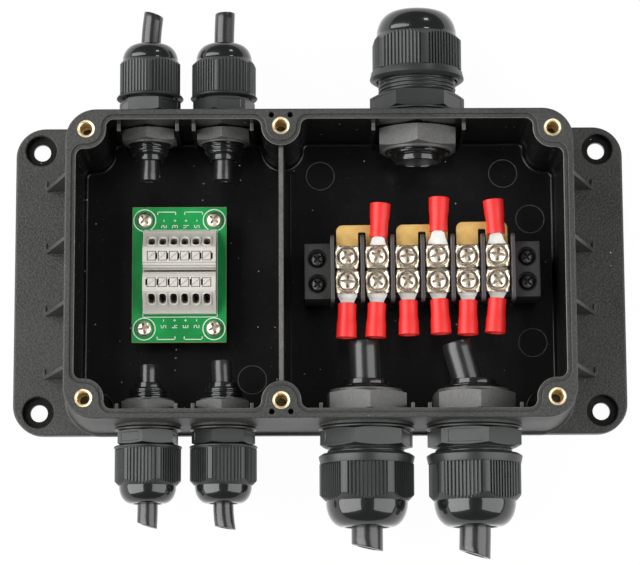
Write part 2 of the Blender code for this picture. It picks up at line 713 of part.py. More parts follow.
def locknut_mesh(kind):
    """Local z = 0 is the face that bears on the inside of the wall, and the nut runs to -z."""
    low = -kind["locknut_length"]
    corner = kind["locknut_flat"] / 2 * HEX_CORNER
    nut = bmesh.new()
    add_prism(nut, hexagon(kind["locknut_flat"]), low, 0)
    made = place_object("locknut", finish_mesh(nut, kind["name"] + "_locknut"), None)
    cone = bmesh.new()
    shape = [(0, low - MM), (kind["locknut_flat"] / 2 - MM, low - MM)]
    shape += [(kind["locknut_flat"] / 2, low), (corner, low + LOCKNUT_CHAMFER)]
    shape += [(corner + MM, 0), (corner + MM, MM), (0, MM)]
    add_turned(cone, shape, GLAND_SIDES)
    combine(made, cone, "INTERSECT")
    bore = bmesh.new()
    hole = clear_radius(kind["thread"], GLAND_SIDES)
    add_prism(bore, circle((0, 0), hole, GLAND_SIDES), low - 2 * MM, 2 * MM)
    combine(made, bore, "DIFFERENCE")
    data = made.data
    bpy.data.objects.remove(made)
    return data


def build_glands(finish):
    meshes = {}
    for kind in (SMALL, LARGE):
        meshes[kind["name"]] = (gland_body_mesh(kind), sealing_nut_mesh(kind), locknut_mesh(kind))
    for name, kind, side, x, opening, (hex_turn, locknut_turn, nut_turn) in GLANDS:
        axis = bpy.data.objects.new(name + "_axis", None)
        bpy.context.scene.collection.objects.link(axis)
        axis.matrix_world = gland_matrix(side, x)
        body, nut, locknut = meshes[kind["name"]]
        up = 0 if side < 0 else math.pi
        turn = side * math.radians(hex_turn)
        seat = (0, 0, PAD_Y)
        shade(place_object(name + "_gland_body", body, finish, axis, seat, (0, 0, up + turn)))
        stack = GAP + kind["collar_length"] + kind["hex_length"]
        seat = (0, 0, PAD_Y + stack + opening)
        turn = side * (math.radians(nut_turn) - math.pi / 2)
        shade(place_object(name + "_sealing_nut", nut, finish, axis, seat, (0, 0, turn)))
        turn = side * math.radians(locknut_turn)
        seat = (0, 0, CAVITY_WIDTH / 2 - GAP)
        shade(place_object(name + "_locknut", locknut, finish, axis, seat, (0, 0, up + turn)))


def smooth_route(points, step):
    """Points about step apart on a smooth curve through the given ones."""
    ends = [points[0] * 2 - points[1]] + points + [points[-1] * 2 - points[-2]]
    route = []
    for a, b, c, d in zip(ends, ends[1:], ends[2:], ends[3:]):
        count = max(1, round((c - b).length / step))
        for i in range(count):
            t = i / count
            route.append(
                0.5
                * (
                    2 * b
                    + (c - a) * t
                    + (2 * a - 5 * b + 4 * c - d) * t**2
                    + (3 * b - a - 3 * c + d) * t**3
                )
            )
    route.append(points[-1])
    return route


def build_cables(finish):
    kinds = {name: kind for name, kind, side, x in gland_axes()}
    for name, points in CABLES.items():
        route = smooth_route([Vector((x * MM, y * MM, GLAND_Z)) for x, y in points], CABLE_STEP)
        data = bpy.data.curves.new(name + "_cable", "CURVE")
        data.dimensions = "3D"
        data.bevel_depth = kinds[name]["cable"]
        data.bevel_resolution = 2
        data.use_fill_caps = True
        data.materials.append(finish)
        spline = data.splines.new("POLY")
        spline.points.add(len(route) - 1)
        for knot, place in zip(spline.points, route):
            knot.co = (*place, 1.0)
        made = bpy.data.objects.new(name + "_cable", data)
        bpy.context.scene.collection.objects.link(made)


def board_bottom():
    return BOARD_TOP - BOARD_THICKNESS


def board_holes():
    for sx in (-1, 1):
        for sy in (1, -1):
            yield BOARD_X + sx * BOARD_HOLE_X / 2, BOARD_Y + sy * BOARD_HOLE_Y / 2


def build_board(green, steel):
    half_x = BOARD_WIDTH / 2
    half_y = BOARD_LENGTH / 2
    mesh = bmesh.new()
    outline = rectangle(BOARD_X - half_x, BOARD_Y - half_y, BOARD_X + half_x, BOARD_Y + half_y)
    add_prism(mesh, outline, board_bottom(), BOARD_TOP)
    board = place_object("circuit_board", finish_mesh(mesh, "circuit_board"), green)
    holes = bmesh.new()
    for place in board_holes():
        add_prism(holes, circle(place, BOARD_HOLE / 2, COARSE), board_bottom() - MM, BOARD_TOP + MM)
    combine(board, holes, "DIFFERENCE")

    screw = bmesh.new()
    low = GAP
    shank = SCREW_SHANK / 2
    head = SCREW_HEAD / 2
    profile = [(0, -SCREW_LENGTH), (shank, -SCREW_LENGTH), (shank, low), (head, low)]
    profile += [(head, low + SCREW_HEAD_HEIGHT / 2), (head * 0.7, low + SCREW_HEAD_HEIGHT)]
    profile += [(0, low + SCREW_HEAD_HEIGHT)]
    add_turned(screw, profile, COARSE)
    data = finish_mesh(screw, "board_screw")
    for number, (x, y) in enumerate(board_holes(), 1):
        shade(place_object(f"board_screw_{number}", data, steel, None, (x, y, BOARD_TOP)))


def pole_offset(pole):
    return (pole - (POLES + 1) / 2) * PITCH


def terminal_mesh():
    """Local +Y runs from the back of the housing to its wire side, z = 0 is the board's top."""
    height = TERMINAL_HEIGHT
    side = [(0, GAP), (TERMINAL_DEPTH, GAP), (TERMINAL_DEPTH, SLOPE_END_HEIGHT)]
    side += [(SLOPE_START, height)]
    side += [(y * MM, height + drop * MM) for y, drop in BACK_STEPS[::-1]]
    mesh = bmesh.new()
    add_placed_prism(mesh, side, -TERMINAL_LENGTH / 2, TERMINAL_LENGTH / 2, DRAWN_ALONG_X)
    made = place_object("terminal", finish_mesh(mesh, "terminal"), None)

    wells = bmesh.new()
    for pole in range(1, POLES + 1):
        x = pole_offset(pole)
        well = rectangle(x - WELL_WIDTH / 2, WELL_NEAR, x + WELL_WIDTH / 2, WELL_NEAR + WELL_DEEP)
        add_prism(wells, well, height - WELL_DROP, height + MM)
    combine(made, wells, "DIFFERENCE")

    holes = bmesh.new()
    fall = math.atan2(height - SLOPE_END_HEIGHT, TERMINAL_DEPTH - SLOPE_START)
    for pole in range(1, POLES + 1):
        middle = (SLOPE_START + WIRE_HOLE_SETBACK, height - WIRE_HOLE_SETBACK * math.tan(fall))
        place = Matrix.Translation((pole_offset(pole), *middle)) @ Matrix.Rotation(-fall, 4, "X")
        outline = circle((0, 0), WIRE_HOLE / 2, WIRE_HOLE_SIDES)
        add_placed_prism(holes, outline, -WIRE_HOLE_DEPTH, MM, place)
    combine(made, holes, "DIFFERENCE")
    data = made.data
    bpy.data.objects.remove(made)
    return data


def button_mesh():
    """Local z = 0 is the top face at rest."""
    half_x = WELL_WIDTH / 2 - GAP
    half_y = WELL_DEEP / 2 - GAP
    mesh = bmesh.new()
    add_prism(mesh, rectangle(-half_x, -half_y, half_x, half_y), -BUTTON_HEIGHT, 0)
    return finish_mesh(mesh, "release_button")


def build_terminals(grey, pale):
    housing = terminal_mesh()
    button = button_mesh()
    for name, side in (("upper", 1), ("lower", -1)):
        turn = 0 if side > 0 else math.pi
        seat = (TERMINAL_X, TERMINAL_MIDDLE_Y + side * TERMINAL_BACK, BOARD_TOP)
        place_object(f"{name}_terminal", housing, grey, None, seat, (0, 0, turn))
        for pole in range(1, POLES + 1):
            x = TERMINAL_X + pole_offset(pole)
            y = TERMINAL_MIDDLE_Y + side * (TERMINAL_BACK + WELL_NEAR + WELL_DEEP / 2)
            top = (x, y, BOARD_TOP + TERMINAL_HEIGHT + BUTTON_PROUD)
            place_object(f"{name}_release_button_{pole}", button, pale, None, top)


def strip_poles():
    for pole in range(1, POLES + 1):
        yield pole, (pole - (POLES + 1) / 2) * POLE_PITCH


def build_strip(black, frame):
    """Local origin: the middle of the strip in plan, at the height of the enclosure's back."""
    half = STRIP_LENGTH / 2
    barriers_reach = POLES / 2 * POLE_PITCH
    mesh = bmesh.new()
    base = rectangle(-half, -STRIP_WIDTH / 2, half, STRIP_WIDTH / 2)
    add_prism(mesh, base, STRIP_BOTTOM, POLE_FLOOR)
    strip = place_object("barrier_strip", finish_mesh(mesh, "barrier_strip"), black)

    ends = bmesh.new()
    for side in (1, -1):
        block = rectangle(side * barriers_reach, -STRIP_WIDTH / 2, side * half, STRIP_WIDTH / 2)
        add_prism(ends, block, POLE_FLOOR - MM, END_BLOCK_TOP)
    combine(strip, ends, "UNION")

    barriers = bmesh.new()
    for number in range(POLES + 1):
        x = number * POLE_PITCH - barriers_reach
        wall = rectangle(
            x - BARRIER_THICKNESS / 2, -BARRIER_WIDTH / 2, x + BARRIER_THICKNESS / 2, BARRIER_WIDTH / 2
        )
        add_prism(barriers, wall, STRIP_BOTTOM + BARRIER_FOOT, BARRIER_TOP)
    combine(strip, barriers, "UNION")

    bars = bmesh.new()
    for pole, x in strip_poles():
        bar = rectangle(x - BAR_WIDTH / 2, -BAR_LENGTH / 2, x + BAR_WIDTH / 2, BAR_LENGTH / 2)
        add_prism(bars, bar, POLE_FLOOR - MM, BAR_TOP)
    combine(strip, bars, "UNION")

    screws = bmesh.new()
    for pole, x in strip_poles():
        for row in (1, -1):
            high = stack_top(pole, row) + WASHER_HEIGHT
            under = high - GAP
            shank = [(0, BAR_TOP - MM), (CLAMP_SHANK / 2, BAR_TOP - MM), (CLAMP_SHANK / 2, under)]
            shank += [(CLAMP_HEAD / 2, under), (CLAMP_HEAD / 2, high + CLAMP_HEAD_HEIGHT)]
            shank += [(0, high + CLAMP_HEAD_HEIGHT)]
            add_turned(screws, shank, COARSE, (x, row * ROW_OFFSET))
    combine(strip, screws, "UNION")

    washers = bmesh.new()
    for pole, x in strip_poles():
        for row in (1, -1):
            y = row * ROW_OFFSET
            half = WASHER_SIZE / 2
            low = stack_top(pole, row)
            plan = rectangle(x - half, y - half, x + half, y + half)
            add_prism(washers, plan, low, low + WASHER_HEIGHT)
    combine(strip, washers, "UNION")

    recesses = bmesh.new()
    for side in (1, -1):
        for row in (1, -1):
            centre = (side * (STRIP_LENGTH - END_BLOCK_LENGTH) / 2, row * ROW_OFFSET)
            outline = circle(centre, END_SCREW_RECESS / 2, COARSE)
            add_prism(recesses, outline, END_BLOCK_TOP - END_SCREW_DEPTH, END_BLOCK_TOP + MM)
    combine(strip, recesses, "DIFFERENCE")
    strip.parent = frame
    shade(strip)


def fork_bottom(row):
    """The top row's forks lie on a jumper, the bottom row's on the contact bars."""
    return BAR_TOP + GAP + (SHEET + GAP if row > 0 else 0)


def stack_top(pole, row):
    """Underside of the washer at this screw."""
    has_fork = any((pole, row) == fork[:2] for fork in FORKS)
    return fork_bottom(row) + (SHEET + GAP if has_fork else 0)


def slot_outline(x, toe):
    """The slot up from a leg's toe and round the screw's shank, from right to left."""
    half = SLOT_WIDTH / 2
    return [(x + half, toe)] + arc((x, ROW_OFFSET), half, 0, math.pi, SLOT_STEPS) + [(x - half, toe)]


def jumper_outline(lift):
    """A comb with two slotted legs, first pole at x = 0, and the bridge beyond the barrier's end."""
    left = -JUMPER_LEG / 2
    right = POLE_PITCH + JUMPER_LEG / 2
    top = JUMPER_REACH + ROW_OFFSET + lift
    toe = ROW_OFFSET - FORK_TIP
    notch_top = top - JUMPER_BRIDGE
    notch_left = (POLE_PITCH - JUMPER_NOTCH) / 2
    notch_right = (POLE_PITCH + JUMPER_NOTCH) / 2
    outline = [(right, toe)] + slot_outline(POLE_PITCH, toe) + [(notch_right, toe)]
    outline += [(notch_right, notch_top), (notch_left, notch_top), (notch_left, toe)]
    outline += slot_outline(0, toe) + [(left, toe)]
    outline += arc((left + JUMPER_CORNER, top - JUMPER_CORNER), JUMPER_CORNER, math.pi, math.pi / 2, 4)
    outline += arc((right - JUMPER_CORNER, top - JUMPER_CORNER), JUMPER_CORNER, math.pi / 2, 0, 4)
    return outline


def build_jumpers(brass, frame):
    for number, (first, lift) in enumerate(JUMPERS, 1):
        x = (first - (POLES + 1) / 2) * POLE_PITCH
        mesh = bmesh.new()
        add_prism(mesh, jumper_outline(lift), BAR_TOP + GAP, BAR_TOP + GAP + SHEET)
        data = finish_mesh(mesh, f"jumper_{number}")
        place_object(f"jumper_{number}", data, brass, frame, (x, 0, 0))


def fork_outline():
    """The flat tongue, with the screw at the origin and the sleeve towards +Y."""
    half = FORK_WIDTH / 2
    slot = SLOT_WIDTH / 2
    outline = [(-half, -FORK_TIP), (-slot, -FORK_TIP)]
    outline += arc((0, SLOT_DEPTH), slot, math.pi, 0, SLOT_STEPS)
    outline += [(slot, -FORK_TIP), (half, -FORK_TIP), (half, FORK_SHOULDER)]
    outline += [(NECK_WIDTH / 2, FORK_SHOULDER + FORK_TAPER)]
    outline += [(-NECK_WIDTH / 2, FORK_SHOULDER + FORK_TAPER), (-half, FORK_SHOULDER)]
    return outline


def fork_mesh():
    """Local origin: the middle of the slot, at half the tongue's thickness."""
    tongue = bmesh.new()
    add_prism(tongue, fork_outline(), -SHEET / 2, SHEET / 2)
    made = place_object("fork", finish_mesh(tongue, "fork_terminal"), None)
    neck = bmesh.new()
    start = FORK_SHOULDER + FORK_TAPER / 2
    end = SLEEVE_START + 2 * MM
    side = [(start, -SHEET / 2), (end, NECK_RISE - SHEET / 2)]
    side += [(end, NECK_RISE + SHEET / 2), (start, SHEET / 2)]
    add_placed_prism(neck, side, -NECK_WIDTH / 2, NECK_WIDTH / 2, DRAWN_ALONG_X)
    combine(made, neck, "UNION")
    sleeve = bmesh.new()
    end = SLEEVE_START + SLEEVE_LENGTH
    middle = SLEEVE_START + SLEEVE_LENGTH * SLEEVE_STEP
    profile = [(0, SLEEVE_START), (SLEEVE_RADIUS, SLEEVE_START), (SLEEVE_RADIUS, middle)]
    profile += [(SLEEVE_BELL, end), (SLEEVE_BORE, end), (SLEEVE_BORE, end - SLEEVE_BORE_DEPTH)]
    profile += [(0, end - SLEEVE_BORE_DEPTH)]
    add_turned(sleeve, profile, SLEEVE_SIDES)
    sleeve.transform(Matrix.Translation((0, 0, SLEEVE_RISE)) @ Matrix.Rotation(-math.pi / 2, 4, "X"))
    combine(made, sleeve, "UNION")
    data = made.data
    bpy.data.objects.remove(made)
    return data


def build_forks(red, frame):
    data = fork_mesh()
    names = {1: "top", -1: "bottom"}
    for pole, row, lean, out in FORKS:
        height = fork_bottom(row) + SHEET / 2
        x = (pole - (POLES + 1) / 2) * POLE_PITCH
        turn = -math.radians(lean) if row > 0 else math.pi + math.radians(lean)
        direction = Vector((0, 1, 0))
        direction.rotate(Euler((0, 0, turn)))
        seat = Vector((x, row * ROW_OFFSET, height)) + direction * out
        name = f"fork_terminal_{names[row]}_{pole}"
        shade(place_object(name, data, red, frame, seat, (0, 0, turn)))


def main():
    clear_scene()
    black = material("black_abs", (0.03, 0.03, 0.028), 0.5)
    nylon = material("black_nylon", (0.035, 0.038, 0.037), 0.35)
    rubber = material("black_sheath", (0.03, 0.03, 0.03), 0.55)
    green = material("green_board", (0.03, 0.3, 0.09), 0.4)
    grey = material("grey_plastic", (0.55, 0.53, 0.49), 0.45)
    steel = material("nickel_plate", (0.75, 0.7, 0.63), 0.25, 1.0)
    brass = material("brass_sheet", (0.7, 0.5, 0.2), 0.35, 1.0)
    red = material("red_vinyl", (0.85, 0.04, 0.05), 0.45)

    build_enclosure(black)
    build_glands(nylon)
    build_cables(rubber)
    build_board(green, steel)
    build_terminals(grey, grey)
    frame = bpy.data.objects.new("strip_frame", None)
    bpy.context.scene.collection.objects.link(frame)
    frame.location = (STRIP_X, STRIP_Y, 0)
    frame.rotation_euler = (0, 0, math.radians(STRIP_TURN))
    build_strip(black, frame)
    build_jumpers(brass, frame)
    build_forks(red, frame)


main()
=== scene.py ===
"""Cable junction box for stage lighting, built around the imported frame.

Sizes are in millimetres, and become metres where a vertex or a place is made. Routes of cables and
the stage are in metres. The frame is the CAD's: the back lies on z = 0, +Y points to the side with
the single large gland and +Z to the open side.
"""

import random
from math import atan2, copysign, cos, degrees, exp, hypot, pi, radians, sin, sqrt, tan
from types import SimpleNamespace

import bmesh
import bpy
from mathutils import Matrix, Vector


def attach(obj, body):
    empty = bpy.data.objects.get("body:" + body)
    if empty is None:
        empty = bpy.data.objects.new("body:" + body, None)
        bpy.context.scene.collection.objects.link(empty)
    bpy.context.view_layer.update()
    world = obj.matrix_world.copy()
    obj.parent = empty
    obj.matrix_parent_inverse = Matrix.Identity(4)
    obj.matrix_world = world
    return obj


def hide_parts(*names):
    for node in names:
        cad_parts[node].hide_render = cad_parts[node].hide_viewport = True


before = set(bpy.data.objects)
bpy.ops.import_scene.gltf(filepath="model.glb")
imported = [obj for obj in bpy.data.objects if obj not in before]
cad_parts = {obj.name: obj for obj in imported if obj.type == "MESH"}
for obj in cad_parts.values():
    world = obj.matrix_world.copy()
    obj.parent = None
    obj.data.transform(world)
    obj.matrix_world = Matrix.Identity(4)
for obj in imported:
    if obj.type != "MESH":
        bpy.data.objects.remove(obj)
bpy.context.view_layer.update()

MM = 0.001
GAP = 0.3
FULL = 2 * pi

# Camera: its place, its turns in degrees and its lens
CAMERA = (-2.419, -178.626, 1081.126)
CAMERA_TURNS = (("X", 9.3757), ("Y", -0.13196), ("Z", -0.21841))
LENS = 150.55

# Enclosure. An outline is a length, a width and a corner radius.
RIM = (200.2, 122.8, 12.1)
FOOT = (205.0, 125.2, 13.5)
PLATE = (248.4, 126.4, 12.0)
CAVITY = (192.0, 114.8)
BOX_HEIGHT = 50.0
PLATE_THICKNESS = 6.5
FLOOR = 3.0
INSIDE_LOW = 1.5
BOSS_RADIUS = 7.8
BOSS_FILLET = 3.0
CORNER_BOSS = (92.0, 53.4)
MIDDLE_BOSS_Y = 54.5
DIVIDER_X = -15.2
INSERT_RADIUS = 3.6
INSERT_LENGTH = 12.5
DIVIDER_HOLES = (3.7, 58.9)
MOUNTING_HOLE = (113.9, 53.9)
GUSSETS = 4
GUSSET_PITCH = 25.8
GUSSET_MIDDLE_Y = -0.9
RIB_TOP = 41.0
EJECTORS = ((-27.5, -40.6), (75.4, 44.5), (86.3, 25.4), (86.6, -25.7), (0.3, 43.7))

# Glands. The grip is a hexagon of inner radius face.
SMALL = SimpleNamespace(
    thread=8.0, bore=5.0, tail_end=5.7, throat=4.3, barrel=10.5, face=12.1, round=4.4, lip=13.5, dome=11.3,
    mouth=6.0, hex=11.0, collar=13.3, locknut=10.4, rib_offset=11.6, cable=4.0, tail=17.8, hex_length=5.9,
    lip_length=2.4, grip_length=13.2, dome_length=7.0, locknut_length=5.0, ribs=8, rib_pitch=1.41,
    rib_depth=0.6, bead=1.3, flare=0.5, bevel=0.4, shoulder=0.2,
)
LARGE = SimpleNamespace(
    thread=12.5, bore=9.2, tail_end=9.2, throat=6.6, barrel=15.6, face=16.9, round=5.2, lip=19.0, dome=16.2,
    mouth=9.1, hex=16.5, collar=19.0, locknut=15.2, rib_offset=18.0, cable=6.2, tail=18.7, hex_length=8.7,
    lip_length=4.0, grip_length=14.6, dome_length=10.2, locknut_length=8.0, ribs=10, rib_pitch=1.52,
    rib_depth=0.8, bead=4.0, flare=0.7, bevel=1.5, shoulder=1.5,
)
COLLAR_LENGTH = 0.9
THREAD_PITCH = 1.5
NUT_PITCH = 1.6
PAD_Y = 62.7
GLAND_Z = 27.0
CAVITY_WALL = PAD_Y - CAVITY[1] / 2
HEX_FACE_STEPS = (-30, -26.5, -22.6, -22, -14, -7, 0, 7, 14, 22, 22.6, 26.5)
HEX_ANGLES = [radians(60 * face + step) for face in range(6) for step in HEX_FACE_STEPS]
# sizes, side, x, gap under the sealing nut, turns of the hexagon, locknut and sealing nut
GLANDS = {
    "signal_a": (SMALL, 1, -68.21, 0.3, (19, -3, 3)),
    "signal_b": (SMALL, 1, -38.39, 0.3, (-16.5, -2, -11)),
    "signal_c": (SMALL, -1, -68.21, 0.3, (-7, 2, 21.5)),
    "signal_d": (SMALL, -1, -38.39, 0.3, (-19.5, -2, -21.5)),
    "power_in": (LARGE, 1, 39.5, 4.4, (32, -2, 8.5)),
    "power_out_a": (LARGE, -1, 18.2, 0.9, (-15, 4, 30)),
    "power_out_b": (LARGE, -1, 60.8, 0.9, (14, 6, 11)),
}

# Cable stubs: the slant of the outer cut, and the points that each centre line runs through, outer
# end first
CABLES = {
    "signal_a": (-0.8, ((-66.9, 105.6), (-67.8, 97.0), (-68.2, 84.0), (-68.2, 56.0), (-68.4, 36.9))),
    "signal_b": (0.3, ((-38.0, 106.0), (-38.3, 97.0), (-38.4, 84.0), (-38.4, 56.0), (-38.6, 37.0))),
    "signal_c": (-1.1, ((-68.4, -101.3), (-68.2, -96.0), (-68.2, -84.0), (-68.2, -56.0), (-68.3, -37.6))),
    "signal_d": (-1.3, ((-37.6, -102.3), (-38.3, -96.0), (-38.4, -84.0), (-38.4, -56.0), (-39.2, -36.0))),
    "power_out_a": (-1.4, ((18.2, -110.3), (18.2, -100.0), (18.2, -84.0), (18.1, -56.0), (17.4, -28.4))),
    "power_out_b": (-1.7, ((60.4, -113.1), (60.7, -102.0), (60.8, -84.0), (60.3, -54.0), (54.5, -28.9))),
}
ROUTE_STEP = 3.0

# Board and its terminals
BOARD = (-56.6, 0.4)
BOARD_SIZE = (38.0, 55.2)
BOARD_BOTTOM = 16.4
BOARD_TOP = 18.0
BOARD_HOLES = (14.0, 22.15)
BOARD_HOLE_RADIUS = 1.7
INK = (BOARD_TOP - 0.02, BOARD_TOP + 0.035)
INK_FRAME_Y = (-16.95, 18.55)
POLES = 6
PITCH = 4.43
TERMINAL = (-56.2, 1.0)
TERMINAL_BACK = 0.35
TERMINAL_LENGTH = POLES * PITCH + 2.8
WELL = (3.63, 3.8)
WELL_NEAR = 3.1
BUTTON_TOP = 10.2
ENTRY_Y = 11.2
SLOPE_START = (9.0, 9.5)
SLOPE_FALL = atan2(6.9, 6.4)

# Barrier strip, drawn in its own frame
STRIP = (41.0, 0.5)
STRIP_TURN = 0.5
STRIP_SIZE = (94.4, 22.5)
STRIP_BOTTOM = 8.0
STRIP_PADS = (12.0, 15.0)
POLE_PITCH = 12.0
BARRIER = (1.5, 27.2, 34.0)
POLE_FLOOR = 25.5
END_BLOCK_TOP = 26.0
END_BLOCK = 10.45
END_RECESS_FLOOR = 23.5
BAR_TOP = 26.7
ROW_OFFSET = 5.05
WASHER = 9.2
SHEET = 0.8
# half width of the slots round the screws, how far their toes reach, and the sleeves' rise
SLOT = 2.1
TOE = 3.4
SLEEVE_RISE = 3.3
# pole, row (+1 top, -1 bottom), lean in degrees towards +X, distance pulled out
FORKS = (
    (2, 1, 4.0, -0.9), (4, 1, 2.4, 1.2), (6, 1, -3.9, 0.0), (1, -1, -2.0, 0.8), (2, -1, -3.2, 0.8),
    (3, -1, 0.0, -0.1), (4, -1, 2.2, -0.4), (5, -1, -1.6, 0.1), (6, -1, -4.8, -0.4),
)
# first pole and how much higher it reaches
JUMPERS = ((1, 0.0), (3, 0.0), (5, 0.8))

ALONG_X = Matrix(((0, 0, 1, 0), (1, 0, 0, 0), (0, 1, 0, 0), (0, 0, 0, 1)))
ALONG_Y = Matrix(((1, 0, 0, 0), (0, 0, 1, 0), (0, 1, 0, 0), (0, 0, 0, 1)))


def at(x, y, z=0.0, turn=0.0, axis="Z"):
    """The matrix of a place, with a turn there about one axis."""
    return Matrix.Translation((x * MM, y * MM, z * MM)) @ Matrix.Rotation(turn, 4, axis)


STRIP_PLACE = at(*STRIP, turn=radians(STRIP_TURN))


def link(name, data):
    made = bpy.data.objects.new(name, data)
    bpy.context.scene.collection.objects.link(made)
    return made


def add_camera():
    data = bpy.data.cameras.new("camera")
    data.sensor_width = 36
    data.lens = LENS
    data.clip_end = 20
    camera = link("camera", data)
    place = at(*CAMERA)
    for axis, turn in CAMERA_TURNS:
        place = place @ Matrix.Rotation(radians(turn), 4, axis)
    camera.matrix_world = place
    bpy.context.scene.camera = camera


# Outlines
def arc(centre, radius, start, end, steps):
    points = []
    for step in range(steps + 1):
        angle = start + (end - start) * step / steps
        points.append((centre[0] + radius * cos(angle), centre[1] + radius * sin(angle)))
    return points


def circle(centre, radius, sides):
    return arc(centre, radius, 0.0, FULL * (sides - 1) / sides, sides - 1)


def grown(size, grow):
    """A rounded rectangle, larger by grow on every side."""
    length = size[0] + 2 * grow
    width = size[1] + 2 * grow
    corner = size[2] + grow
    outline = []
    for turn, (sx, sy) in enumerate(((1, 1), (-1, 1), (-1, -1), (1, -1))):
        centre = (sx * (length / 2 - corner), sy * (width / 2 - corner))
        outline += arc(centre, corner, turn * pi / 2, (turn + 1) * pi / 2, 12)
    return outline


def rectangle(x0, y0, x1, y1):
    return [(x0, y0), (x1, y0), (x1, y1), (x0, y1)]


def counterclockwise(outline):
    area = 0.0
    for (ax, ay), (bx, by) in zip(outline, outline[1:] + outline[:1]):
        area += ax * by - bx * ay
    return outline if area > 0 else outline[::-1]


def around(sides):
    return [FULL * i / sides for i in range(sides)]


def edge_round(radius, steps):
    """Pairs of inset and height, from the side face up to the top face."""
    turns = [pi / 2 * step / steps for step in range(steps + 1)]
    return [(radius * (1 - cos(turn)), radius * (sin(turn) - 1)) for turn in turns]


def rows_from(radius, height, pairs):
    """Rows of radius and height, written as steps from the two given."""
    return [(radius + out, height + up) for out, up in pairs]


# Solids
def vertex(mesh, x, y, z):
    return mesh.verts.new((x * MM, y * MM, z * MM))


def join_rings(mesh, rings):
    """Faces between rings with as many vertices, closed at both ends."""
    count = len(rings[0])
    for lower, upper in zip(rings, rings[1:]):
        for i in range(count):
            j = (i + 1) % count
            mesh.faces.new((lower[i], lower[j], upper[j], upper[i]))
    mesh.faces.new(rings[-1])
    mesh.faces.new(rings[0][::-1])


def add_loft(mesh, levels):
    """A closed solid through outlines with as many points, each with its height."""
    join_rings(mesh, [[vertex(mesh, x, y, z) for x, y in outline] for outline, z in levels])


def add_prism(mesh, outline, low, high):
    add_loft(mesh, [(outline, low), (outline, high)])


def take_in(mesh, other, place=None):
    """Adds the faces of another bmesh, moved by the matrix place."""
    if place is not None:
        bmesh.ops.transform(other, matrix=place, verts=other.verts)
    data = bpy.data.meshes.new("part")
    other.to_mesh(data)
    other.free()
    mesh.from_mesh(data)
    bpy.data.meshes.remove(data)


def add_block(mesh, outline, low, high, bevel, place=None, steps=2):
    """A prism with its edges rounded by bevel."""
    block = bmesh.new()
    add_prism(block, counterclockwise(outline), low, high)
    bmesh.ops.recalc_face_normals(block, faces=block.faces)
    sharp = [e for e in block.edges if e.calc_face_angle(0) > 0.5]
    bmesh.ops.bevel(
        block, geom=sharp, offset=bevel * MM, segments=steps, profile=0.5, affect="EDGES", clamp_overlap=True
    )
    take_in(mesh, block, place)


def at_angle(entry, angle):
    return entry(angle) if callable(entry) else entry


def add_turned(mesh, rows, sides, loop=False, centre=(0.0, 0.0)):
    """Rows of radius and height, either of which may be a function of the angle. A radius of 0 is a
    point on the axis. With loop, the last row joins the first. The sides are a number or angles."""
    angles = around(sides) if isinstance(sides, int) else sides
    rings = []
    for radius, height in rows:
        if radius == 0:
            rings.append([vertex(mesh, *centre, height)])
            continue
        ring = []
        for angle in angles:
            out = at_angle(radius, angle)
            x = centre[0] + out * cos(angle)
            y = centre[1] + out * sin(angle)
            ring.append(vertex(mesh, x, y, at_angle(height, angle)))
        rings.append(ring)
    if loop:
        rings.append(rings[0])
    for lower, upper in zip(rings, rings[1:]):
        for i in range(len(angles)):
            j = (i + 1) % len(angles)
            corners = [lower[i % len(lower)], lower[j % len(lower)]]
            corners += [upper[j % len(upper)], upper[i % len(upper)]]
            unique = list(dict.fromkeys(corners))
            if len(unique) > 2:
                mesh.faces.new(unique)


def thread_rows(low, high, pitch, crest, root, steps=8):
    """Rows of a screw thread that fades out at both ends."""
    count = max(4, round((high - low) / pitch * steps))
    rows = []
    for step in range(count + 1):
        height = low + (high - low) * step / count
        near_end = min(height - low, high - height) / (pitch * 0.6)
        fade = max(0.0, min(1.0, near_end))

        def radius(angle, height=height, fade=fade):
            turn = (height / pitch - angle / FULL) % 1.0
            rise = min(1.0, max(0.0, 0.5 - 0.85 * cos(FULL * turn)))
            return root + (crest - root) * rise * fade

        rows.append((radius, height))
    return rows


def sharpen(data, smooth=30):
    data.shade_smooth()
    data.set_sharp_from_angle(angle=radians(smooth))
    return data


def mesh_data(mesh, name, finishes, smooth=30):
    """The bmesh as mesh data with the named finishes."""
    bmesh.ops.recalc_face_normals(mesh, faces=mesh.faces)
    data = bpy.data.meshes.new(name)
    mesh.to_mesh(data)
    mesh.free()
    for finish in finishes.split():
        data.materials.append(FINISHES[finish])
    return sharpen(data, smooth)


def turned_data(name, rows, sides, finishes, smooth):
    mesh = bmesh.new()
    add_turned(mesh, rows, sides, loop=True)
    return mesh_data(mesh, name, finishes, smooth)


def show(name, data, body="box", place=None, node=None):
    """Links a piece that rides on a body and may stand for a node of the CAD."""
    made = link(name, data)
    if place is not None:
        made.matrix_world = place
    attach(made, body)
    if node:
        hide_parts(node)
    return made


def keep_flat(made):
    """Shades the large faces flat beside their rounded edges."""
    modifier = made.modifiers.new("flat faces", "WEIGHTED_NORMAL")
    modifier.keep_sharp = True
    modifier.weight = 60


def cut_mesh(data, mesh, operation="DIFFERENCE"):
    """The mesh data after a Boolean with the bmesh."""
    bmesh.ops.recalc_face_normals(mesh, faces=mesh.faces)
    other = bpy.data.meshes.new("helper")
    mesh.to_mesh(other)
    mesh.free()
    target = link("target", data)
    helper = link("helper", other)
    modifier = target.modifiers.new("cut", "BOOLEAN")
    modifier.object = helper
    modifier.operation = operation
    modifier.use_self = True
    bpy.context.view_layer.update()
    graph = bpy.context.evaluated_depsgraph_get()
    result = bpy.data.meshes.new_from_object(target.evaluated_get(graph))
    result.name = data.name
    for made in (target, helper):
        bpy.data.objects.remove(made)
    for old in (other, data):
        bpy.data.meshes.remove(old)
    return result


